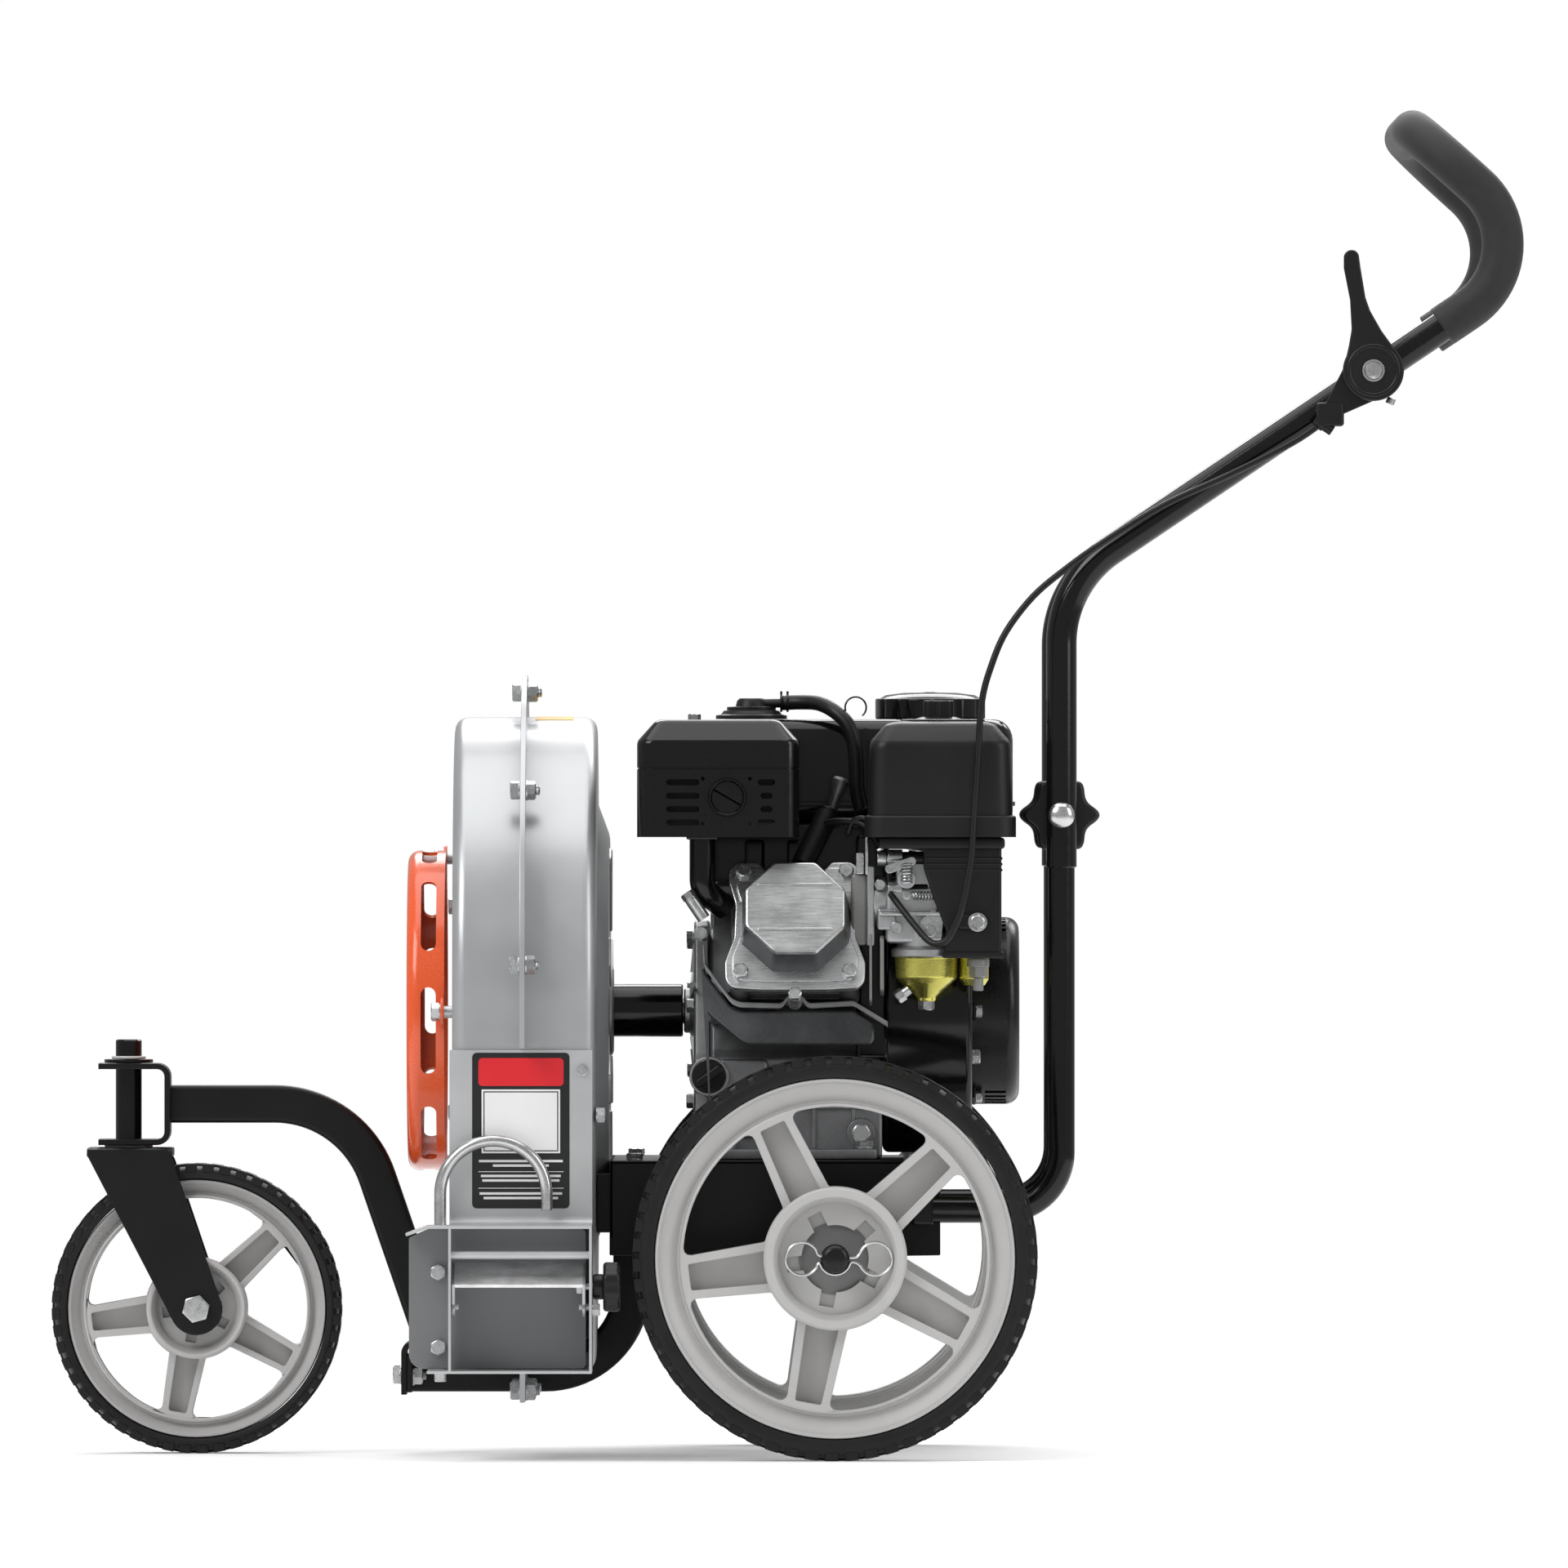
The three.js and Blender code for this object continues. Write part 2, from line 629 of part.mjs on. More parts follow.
function housingRearShell() {
  const face = fan.split + gap / 2;
  const dishZ = shaftZ - 8;
  const saddle = (extra) => box(-178 - extra, -130, -16 - extra, 16 + extra, 0, 97 + extra);
  const dish = (inset) => {
    const [x0, x1] = [fan.rear - 0.5 - inset, fan.dish - inset];
    return turned("X", [[0, x0], [165 - inset, x0], [140 - inset, x1], [0, x1]], [0, 0, dishZ], 24);
  };
  const outer = join(plate("X", scrollOutline(0), face, fan.rear), dish(0));
  const inner = join(plate("X", scrollOutline(sheet), face - 1, fan.rear - sheet), dish(sheet));
  const hole = rod("X", 22, -150, -120, [0, 0, shaftZ], 24);
  const shell = cut(cut(outer, saddle(0)), cut(inner, saddle(sheet)), hole, dischargeCuts()[0]);
  add("housing_rear_shell", join(shell, splitFlange(face, face + sheet)), housingGray);
}

function impeller() {
  const blades = 8;
  const parts = [rod("X", fan.impeller, -160, -156, [0, 0, 0], 20), rod("X", 24, -215, -156, [0, 0, 0], 12)];
  for (let k = 0; k < blades; k++) {
    const outline = rectangle(20, fan.impeller - 2, -1.5, 1.5);
    const blade = cut(plate("X", outline, -238, -157), box(-240, -214, 10, 60, -10, 10));
    parts.push(solid(geometryOf(blade), new THREE.Matrix4().makeRotationX((k * 360 * DEG) / blades)));
  }
  const body = cut(join(parts), rod("X", 10.8, -240, -150, [0, 0, 0], 12));
  const rotor = new THREE.Group();
  rotor.position.z = shaftZ;
  group.add(rotor);
  add("impeller", body, brushedSteel, rotor);
  add("fan_sleeve", ring("X", 10.8, 20, -155.7, -77, [0, 0, 0], 16), paintBlack, rotor);
  add("crankshaft", rod("X", 10, -216, 128, [0, 0, 0], 12), brushedSteel, rotor);
  const wheel = [[10.8, 88], [30, 88], [30, 96], [62, 96], [62, 118], [10.8, 118], [10.8, 88]];
  add("flywheel", turned("X", wheel, [0, 0, 0], 20), castAluminium, rotor);
}

function inletGuard() {
  const { front: nose, rear: edge, radius, wall, slots } = guard;
  const at = [0, 0, shaftZ];
  const profile = [
    [0, nose],
    [radius - 8, nose],
    [radius - 2.5, nose + 2.5],
    [radius, nose + 8],
    [radius, edge],
    [radius - wall, edge],
    [radius - wall, nose + 8],
    [radius - 8, nose + wall],
    [0, nose + wall],
  ];
  const cuts = [];
  for (let k = 0; k < slots; k++) {
    const turn = 7 + (k * 360) / slots;
    cuts.push(plate("X", sector(0, shaftZ, radius - 6, radius + 3, turn - 16.5, turn + 16.5), -275, -263));
  }
  for (const turn of [0, 90, 180, 270]) {
    cuts.push(plate("X", sector(0, shaftZ, 44, 96, turn - 38, turn + 38), nose - 1, nose + 5));
  }
  const tabs = [90, 210, 330].flatMap((turn) => {
    const [[y, z]] = arc(0, shaftZ, 133, turn, turn, 1);
    const about = new THREE.Matrix4().makeTranslation(0, 0, shaftZ);
    about.multiply(new THREE.Matrix4().makeRotationX(turn * DEG));
    const lug = solid(geometryOf(box(edge - wall, edge, radius - 4, 142, -11, 11)), about);
    return [lug, rod("X", 7, edge - 1, fan.front - gap, [0, y, z], 12)];
  });
  add("inlet_guard", join(cut(turned("X", profile, at, 24), cuts), tabs), guardOrange);
}

// ---------------------------------------------------------------- discharge chute

function dischargeChute() {
  const { front: left, rear: right, low, high, mouth, wall } = duct;
  const back = wall - gap;
  const lip = flap.front - 2;
  // Decal plate bent outwards into the duct's top, as one strip seen along X.
  const strip = rounded([
    [back, 308],
    [back - 2.4, 308],
    [back - 2.4, high, 7],
    [mouth, high],
    [mouth, high - sheet],
    [back, high - sheet, 1],
  ]);
  const top = plate("X", strip, left, right);
  const topLip = [
    [-268, high],
    [lip, 171],
    [lip + 0.8, 169.2],
    [-267.4, high - sheet],
    [left + 1, high - sheet],
    [left + 1, high],
  ];
  const parts = [top, plate("Y", topLip, mouth, back - 8)];
  parts.push(box(-268, right, mouth, back, low, low + sheet));
  parts.push(box(left, left + sheet, mouth, -230, low, high));
  parts.push(box(right - sheet, right, mouth, back, low, high));
  parts.push(rod("X", 3, left + 1, right - 1, [0, -270, 155], 12));
  parts.push(rod("X", 3, left + 1, vane.front + 5, [0, vane.y, vane.z], 12));
  parts.push(rod("X", 3, vane.rear - 5, right - 1, [0, vane.y, vane.z], 12));
  const pinHole = rod("Z", pin.radius + 0.5, 50, 200, [flap.x, flap.y, 0], 16);
  const reach = vane.knobZ - vane.z;
  const slot = plate("X", sector(vane.y, vane.z, reach - 3.8, reach + 3.8, 62, 134, 3), right - 3, right + 1);
  add("discharge_chute", cut(join(parts), pinHole, slot), housingGray);
}

function diverterFlap() {
  const { x, y, front: nose, rear: tail, low, high, near, far } = flap;
  const outline = rounded([
    [nose, low, 11],
    [tail, low, 4],
    [tail, high, 4],
    [-267, high],
    [nose, high - 6.7, 2],
  ]);
  const barrel = rod("Z", 8, low + 4, high - 4, [x, y, 0], 16);
  const heads = [142, 85].map((z) => rod("Y", 5.8, near - 4, near + 1, [-260, 0, z], 6));
  const bore = rod("Z", pin.radius + 0.6, low - 1, high + 1, [x, y, 0], 16);
  add("diverter_flap", cut(join(plate("Y", outline, near, far), barrel, heads), bore), housingGray);
}

function loopPin() {
  const { radius, bend, low, high, tip } = pin;
  const crown = high + bend;
  const path = new BentPath([
    [flap.x, flap.y, low],
    [flap.x, flap.y, crown, bend - 0.1],
    [flap.x + 2 * bend, flap.y, crown, bend - 0.1],
    [flap.x + 2 * bend, flap.y, tip],
  ]);
  add("loop_pin", sweep(tubeSection(radius, 0), path), chromeSteel);
}

// The vane is a channel lying across the duct, near the mouth, with an ear at each side.
function chuteVane() {
  const { y, z, front: left, rear: right, plate: thick } = vane;
  const near = [-275, 133];
  const far = [-232, 149];
  const slope = Math.atan2(far[1] - near[1], far[0] - near[0]);
  const drop = [thick * Math.sin(slope), -thick * Math.cos(slope)];
  const blade = [near, far, [far[0] + drop[0], far[1] + drop[1]], [near[0] + drop[0], near[1] + drop[1]]];
  const ear = [near, far, [-238, 118], ...arc(y, z, 8, -10, -170, 5), [-272, 118]];
  const ears = [plate("X", ear, left, left + thick), plate("X", ear, right - thick, right)];
  const pivot = rod("X", 3.5, left - 1, right + 1, [0, y, z], 12);
  const stud = rod("X", 3.4, right - 5, right + 1, [0, y, vane.knobZ], 12);
  add("chute_vane", cut(join(plate("X", blade, left, right), ears), pivot, stud), housingGray);
}

function vaneKnob() {
  const at = [0, vane.y, vane.knobZ];
  const inside = vane.rear - vane.plate - gap;
  const outside = duct.rear + 0.6;
  const shaft = rod("X", 3, inside - 4, outside + 4, at, 12);
  const nut = rod("X", 5.8, inside - 4.5, inside, at, 6);
  const hub = rod("X", 9.8, outside, outside + 8.4, at, 12);
  const head = rod("X", 18.8, outside + 7.9, outside + 20.4, at, 16);
  add("vane_knob", join(shaft, nut, hub, head), plasticBlack);
}

// ---------------------------------------------------------------- engine

function crankcase() {
  const { front: nose, rear: tail, base } = engine;
  const outer = [
    [-85, base], [105, base], [105, 330], [85, 380], [45, 410], [-29, 415.8], [-79.7, 307], [-85, 300],
  ];
  const inner = [
    [-79, base + 6], [99, base + 6], [99, 328], [80, 375], [42, 404], [-24, 409], [-74, 307], [-79, 298],
  ];
  const hollow = plate("X", inner, nose - 1, tail - 6);
  const feet = [-1, 1].map((side) => box(nose + 4, tail - 4, 95 * side - 12, 95 * side + 12, base, base + 8));
  const shaft = rod("X", 11, -80, 90, [0, 0, shaftZ], 12);
  add("crankcase", cut(join(plate("X", outer, nose, tail), feet), hollow, shaft), castAluminium);
}

function crankcaseCover() {
  const { front: nose, base } = engine;
  const outline = rounded([
    [-80, base + 4, 10], [98, base + 4, 10], [98, 330], [78, 378], [30, 402], [-26, 405], [-76, 305],
  ]);
  const disc = plate("X", outline, -68.5, nose - gap);
  const boss = rod("X", 17, -76.3, -66, [0, 0, shaftZ], 16);
  const neck = rod("Y", 15, oilCap.face, -85 - gap, [oilCap.x, 0, oilCap.z], 12);
  const lobe = box(-68.5, nose - gap, oilCap.face, -70, 273, 301);
  const shaft = rod("X", 11, -80, 0, [0, 0, shaftZ], 12);
  add("crankcase_cover", cut(join(disc, boss, neck, lobe), shaft), castAluminium);
}

// Cylinder and head lie in a group tilted towards the discharge side.
function cylinderBank() {
  const bank = new THREE.Group();
  bank.position.z = shaftZ;
  bank.rotation.x = engine.tilt * DEG;
  group.add(bank);
  const [x, z] = [9, -8];
  const block = (half, y0, y1) => box(x - half, x + half, y0, y1, z - half, z + half);
  const parts = [block(42, -158, -60 - gap), block(52.5, -158, -146)];
  for (const y of [-72, -90, -108, -126]) parts.push(block(52, y - 4, y));
  const bore = rod("Y", 34, -140, -50, [x, 0, z], 12);
  add("cylinder", cut(join(parts), bore), castAluminium, bank);

  const outline = rectangle(x - 52.5, x + 52.5, z - 53, z + 53, 12);
  const hollow = rectangle(x - 46, x + 46, z - 46, z + 46, 10);
  const crown = rectangle(x - 34, x + 34, z - 34, z + 34, 14, 1);
  const cover = join(plate("Y", outline, -182, -158 - gap), plate("Y", crown, -190, -181));
  add("valve_cover", cut(cover, plate("Y", hollow, -178, -158)), brushedSteel, bank);
}

function exhaust() {
  const { x0, x1, y0, y1, z0, z1 } = muffler;
  const skin = 1.6;
  const outline = [[x0, z0], [x1, z0], [x1, 536], [x1 - 14, z1], [x0 + 14, z1], [x0, 536]];
  const hollow = box(x0 + skin, x1 - skin, y0 + skin, y1 - skin, z0 - 1, 534);
  const shell = cut(plate("Y", outline, y0, y1), hollow);
  const port = [-43, 0, 499];
  const cuts = [rod("Y", 14.5, y0 - 1, y0 + 5, port, 14)];
  cuts.push(box(x0 + 18, x1 - 18, y0 + skin, y1 - skin, 530, z1 - 2));
  for (let k = 0; k < 4; k++) {
    for (const x of [x0 + 10, x1 - 38]) cuts.push(box(x, x + 28, y0 - 1, y0 + 3, 480 + 9 * k, 484 + 9 * k));
  }
  add("muffler_guard", cut(shell, cuts), paintBlack);

  const body = box(x0 + 8, x1 - 8, y0 + 9, y1 - 8, z0 + 8, 528);
  const inside = box(x0 + 9.6, x1 - 9.6, y0 + 10.6, y1 - 9.6, z0 + 9.6, 526.4);
  const tail = rod("Y", 13, y0 - 3, y0 + 10, port, 14);
  add("muffler", cut(join(body, tail), inside, rod("Y", 9, y0 - 4, y0 + 12, port, 16)), paintBlack);

  const path = new BentPath([[-66, -125, z0 + 8 - gap], [-66, -125, 421, 14], [9 - 52.5 - gap, -125, 421]]);
  add("exhaust_pipe", sweep(tubeSection(8.5, 0), path), paintBlack);
}

function intake() {
  const { x0, x1, y0, y1, z0, z1 } = cleaner;
  const outer = plate("Z", rectangle(x0, x1, y0, y1, 14), z0, z1 - 8);
  const lid = plate("Z", rectangle(x0 + 5, x1 - 5, y0 + 5, y1 - 5, 12), z1 - 9, z1);
  const hollow = plate("Z", rectangle(x0 + 3, x1 - 3, y0 + 3, y1 - 3, 11), z0 - 1, z1 - 11);
  const middle = [(x0 + x1) / 2, (y0 + y1) / 2, 0];
  const wing = box(middle[0] - 14, middle[0] + 14, middle[1] - 3, middle[1] + 3, z1 + 3, z1 + 14);
  const stem = rod("Z", 8, z1 - 1, z1 + 8, middle, 14);
  add("air_cleaner_cover", join(cut(join(outer, lid), hollow), stem, wing), plasticBlack);

  const pan = box(71, 162, -180, -74, 459, z0 - gap);
  const column = cut(box(131, 162, -168, -118, 377, 460), box(134, 159, -165, -121, 390, 470));
  add("air_cleaner_body", join(cut(pan, box(134, 159, -165, -121, 450, 470)), column), plasticBlack);

  const bowl = [107, -142];
  const parts = [box(62, 68, -158, -119, 392, 446), rod("X", 19, 66, 130.5, [0, -139, 419], 12)];
  parts.push(box(76, 124, -160, -120, 388, 436));
  parts.push(rod("Z", 22, 378 + gap, 390, [...bowl, 0], 12));
  parts.push(box(84, 112, -156, -126, 430, 458));
  add("carburetor", join(parts), castAluminium);
  const profile = [[0, 337], [6, 337], [6, 345], [18, 345], [24, 352], [24, 378], [0, 378]];
  add("float_bowl", turned("Z", profile, [...bowl, 0], 16), zincYellow);
  const cup = [[0, 356], [8, 356], [11, 360], [11, 377 - gap], [0, 377 - gap]];
  add("sediment_cup", turned("Z", cup, [143, -143, 0], 16), plasticBlack);
}

function fuelTank() {
  const { x0, x1, y0, y1, z0, z1, wall } = tank;
  const outer = plate("Y", rectangle(x0, x1, z0, z1, 16), y0, y1);
  const hollow = plate("Y", rectangle(x0 + wall, x1 - wall, z0 + wall, z1 - wall, 13), y0 + wall, y1 - wall);
  const neck = rod("Z", 24, z1 - 8, z1 + 1, [cap.x, cap.y, 0], 16);
  const posts = [-40, 30].map((x) => box(x, x + 20, 0, 30, 416.2, z0 + 1));
  add("fuel_tank", cut(join(cut(outer, hollow), posts), neck), paintBlack);

  const lid = [
    [0, 544],
    [20, 544],
    [20, z1 + gap],
    [cap.radius, z1 + gap],
    [cap.radius, cap.top - 5],
    [cap.radius - 4, cap.top],
    [0, cap.top],
  ];
  add("fuel_cap", turned("Z", lid, [cap.x, cap.y, 0], 20), plasticBlack);
  const dome = [[0, z1 + gap], [vent.radius, z1 + gap], [vent.radius, 566], [21, vent.top], [0, vent.top]];
  add("fuel_tank_vent", turned("Z", dome, [vent.x, vent.y, 0], 16), plasticBlack);
}

function hoses() {
  const hose = [
    [3.5, -22, 566], [24, -36, 568], [42, -54, 561], [54, -56, 538], [54.5, -56, 505], [58, -56, 489],
  ];
  const path = (points) => new THREE.CatmullRomCurve3(points.map((p) => new THREE.Vector3(...p)));
  add("vent_hose", sweep(tubeSection(4.3, 0, 8), path(hose), 12), hoseRubber);
  const boot = [[18, -117, 448], [22, -114, 456], [33, -104, 482], [41, -92, 507], [44, -78, 514]];
  add("spark_plug_boot", sweep(tubeSection(6.5, 0, 8), path(boot), 8), hoseRubber);
}

function coolingShroud() {
  const outline = (inset) => [
    ...arc(0, shaftZ, 115 - inset, -65, 245, 20),
    [inset - 48, 229 + inset],
    [48 - inset, 229 + inset],
  ];
  const [x0, x1, skin] = [engine.rear + gap, 142, 2.5];
  const hollow = plate("X", outline(skin), x0 - 1, x1 - skin);
  const mouth = rod("X", 58, x0, x1 + 1, [0, 0, shaftZ], 20);
  add("cooling_shroud", cut(plate("X", outline(0), x0, x1), hollow, mouth), paintBlack);
}

// The pull handle leaves the recoil cover on the far side, up and outwards.
function recoilStarter() {
  const { radius, front: x0, rear: x1, angle, x } = recoil;
  const pull = new THREE.Group();
  pull.position.set(x, 0, shaftZ);
  pull.rotation.x = angle * DEG;
  group.add(pull);
  const profile = [
    [radius - 2.5, x0],
    [radius, x0],
    [radius, x1 - 12],
    [radius - 12, x1],
    [0, x1],
    [0, x1 - 2.5],
    [radius - 13, x1 - 2.5],
    [radius - 2.5, x1 - 13],
    [radius - 2.5, x0],
  ];
  const guide = new THREE.Matrix4().makeTranslation(x, 0, shaftZ);
  guide.multiply(new THREE.Matrix4().makeRotationX(angle * DEG));
  const hole = solid(geometryOf(rod("Y", 4.5, 40, 80, [0, 0, 0], 12)), guide);
  add("recoil_cover", cut(turned("X", profile, [0, 0, shaftZ], 24), hole), paintBlack);
  const toggle = plate("X", rectangle(radius + 3, radius + 19, -28, 28, 6), -9, 9);
  add("recoil_handle", join(toggle, rod("Y", 3, 44, radius + 5, [0, 0, 0], 10)), plasticBlack, pull);
}

function oilFillerCap() {
  const { x, z, radius, face } = oilCap;
  const disc = rod("Y", radius, face - 7, face - gap, [x, 0, z], 16);
  const tab = box(x - 4, x + 4, face - 15, face - 6, z - 11, z + 11);
  add("oil_filler_cap", join(disc, tab), plasticBlack);
}

// ---------------------------------------------------------------- assembly

for (const [name, side] of Object.entries(sides)) {
  rearWheel(name, side);
  wheelClip(name, side);
  lowerHandle(name, side);
  handleBolt(name, side);
}
rearAxle();
frontWheel();
frontAxle();
casterFork();
casterKingpin();
casterBracket();
frontArm();
spineBeam();
engineDeck();
upperHandle();
handleGrip();
throttleMount();
throttleLever();
throttleCable();
housingFrontShell();
housingRearShell();
impeller();
inletGuard();
dischargeChute();
diverterFlap();
loopPin();
chuteVane();
vaneKnob();
crankcase();
crankcaseCover();
cylinderBank();
exhaust();
intake();
fuelTank();
hoses();
coolingShroud();
recoilStarter();
oilFillerCap();

export default group;
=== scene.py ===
"""Walk-behind leaf blower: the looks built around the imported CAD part.

Lengths are in millimetres until a piece is made.
"""
import math

import bmesh
import bpy
from mathutils import Matrix, Vector


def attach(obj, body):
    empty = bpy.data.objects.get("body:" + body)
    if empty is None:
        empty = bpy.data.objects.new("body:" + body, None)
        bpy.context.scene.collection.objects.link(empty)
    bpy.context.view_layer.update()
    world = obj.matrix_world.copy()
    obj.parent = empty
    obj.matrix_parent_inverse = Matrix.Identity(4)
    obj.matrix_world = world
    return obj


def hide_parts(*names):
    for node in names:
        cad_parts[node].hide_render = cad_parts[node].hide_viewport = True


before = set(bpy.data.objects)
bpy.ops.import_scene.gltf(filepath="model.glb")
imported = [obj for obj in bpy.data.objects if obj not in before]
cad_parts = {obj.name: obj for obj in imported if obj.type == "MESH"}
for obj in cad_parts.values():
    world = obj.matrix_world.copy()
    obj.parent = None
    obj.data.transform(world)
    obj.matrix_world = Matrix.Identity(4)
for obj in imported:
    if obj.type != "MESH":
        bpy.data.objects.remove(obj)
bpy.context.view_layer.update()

MM = 0.001
CREASE = math.radians(32)  # edges sharper than this stay crisp


# ---------------------------------------------------------------- outlines


def rounded(corners, steps=4, closed=True):
    """Corners given as (u, v, radius), each rounded by an arc of a few steps."""
    points = []
    for i, corner in enumerate(corners):
        here = Vector(corner[:2])
        radius = corner[2] if len(corner) > 2 else 0
        if not radius or (not closed and i in (0, len(corners) - 1)):
            points.append(tuple(here))
            continue
        before = (Vector(corners[i - 1][:2]) - here).normalized()
        after = (Vector(corners[(i + 1) % len(corners)][:2]) - here).normalized()
        half = before.angle(after) / 2
        reach = radius / math.tan(half)
        centre = here + (before + after).normalized() * radius / math.sin(half)
        start = here + before * reach - centre
        end = here + after * reach - centre
        turn = math.atan2(start.x * end.y - start.y * end.x, start.dot(end))
        for k in range(steps + 1):
            a = turn * k / steps
            cos, sin = math.cos(a), math.sin(a)
            spot = (start.x * cos - start.y * sin, start.x * sin + start.y * cos)
            points.append((centre.x + spot[0], centre.y + spot[1]))
    return points


def rect(u0, u1, v0, v1, radius=0, steps=4):
    return rounded([(u0, v0, radius), (u1, v0, radius), (u1, v1, radius), (u0, v1, radius)], steps)


def arc(u, v, radius, start, end, steps):
    """Points of a round stretch from one angle to another, in degrees."""
    angles = [math.radians(start + (end - start) * k / steps) for k in range(steps + 1)]
    return [(u + radius * math.cos(a), v + radius * math.sin(a)) for a in angles]


def circle(u, v, radius, sides=48):
    return arc(u, v, radius, 0, 360 - 360 / sides, sides - 1)


def sector(u, v, inner, outer, start, end, steps=8):
    return arc(u, v, outer, start, end, steps) + arc(u, v, inner, end, start, steps)


def slot(u, v, length, width, steps=6):
    """A round-ended slot lying along u."""
    half, radius = (length - width) / 2, width / 2
    return arc(u + half, v, radius, -90, 90, steps) + arc(u - half, v, radius, 90, 270, steps)


def lobed(u, v, count, radius_at):
    """A closed outline of count points whose radius follows the angle."""
    points = []
    for k in range(count):
        a = 2 * math.pi * k / count
        radius = radius_at(a)
        points.append((u + radius * math.cos(a), v + radius * math.sin(a)))
    return points


# ---------------------------------------------------------------- routes


def bent(corners, steps=10):
    """Straight runs joined by round bends; corners are (x, y, z, bend radius), the ends without a radius."""
    points = []
    for i, corner in enumerate(corners):
        here = Vector(corner[:3])
        if i in (0, len(corners) - 1):
            points.append(here)
            continue
        into = (here - Vector(corners[i - 1][:3])).normalized()
        out = (Vector(corners[i + 1][:3]) - here).normalized()
        turn = into.angle(out)
        inward = (out - into * into.dot(out)).normalized()
        radius = corner[3]
        start = here - into * radius * math.tan(turn / 2)
        for k in range(steps + 1):
            a = turn * k / steps
            points.append(start + inward * radius * (1 - math.cos(a)) + into * radius * math.sin(a))
    return points


def spline(knots, per=6):
    """A smooth line through the knots."""
    knots = [Vector(k) for k in knots]
    points = []
    for i in range(len(knots) - 1):
        p0, p1, p2 = knots[max(i - 1, 0)], knots[i], knots[i + 1]
        p3 = knots[min(i + 2, len(knots) - 1)]
        for k in range(per):
            t = k / per
            square = (2 * p0 - 5 * p1 + 4 * p2 - p3) * t**2
            cube = (3 * p1 - p0 - 3 * p2 + p3) * t**3
            points.append(0.5 * (2 * p1 + (p2 - p0) * t + square + cube))
    return points + [knots[-1]]


# ---------------------------------------------------------------- solids


def laid(axis, u, v, w):
    return {"X": (w, u, v), "Y": (u, w, v), "Z": (u, v, w)}[axis]


def spun(axis, radius, angle, along, at):
    """The point at a radius and an angle round the axis through a point, some way along it."""
    return Vector(laid(axis, radius * math.cos(angle), radius * math.sin(angle), along)) + Vector(at)


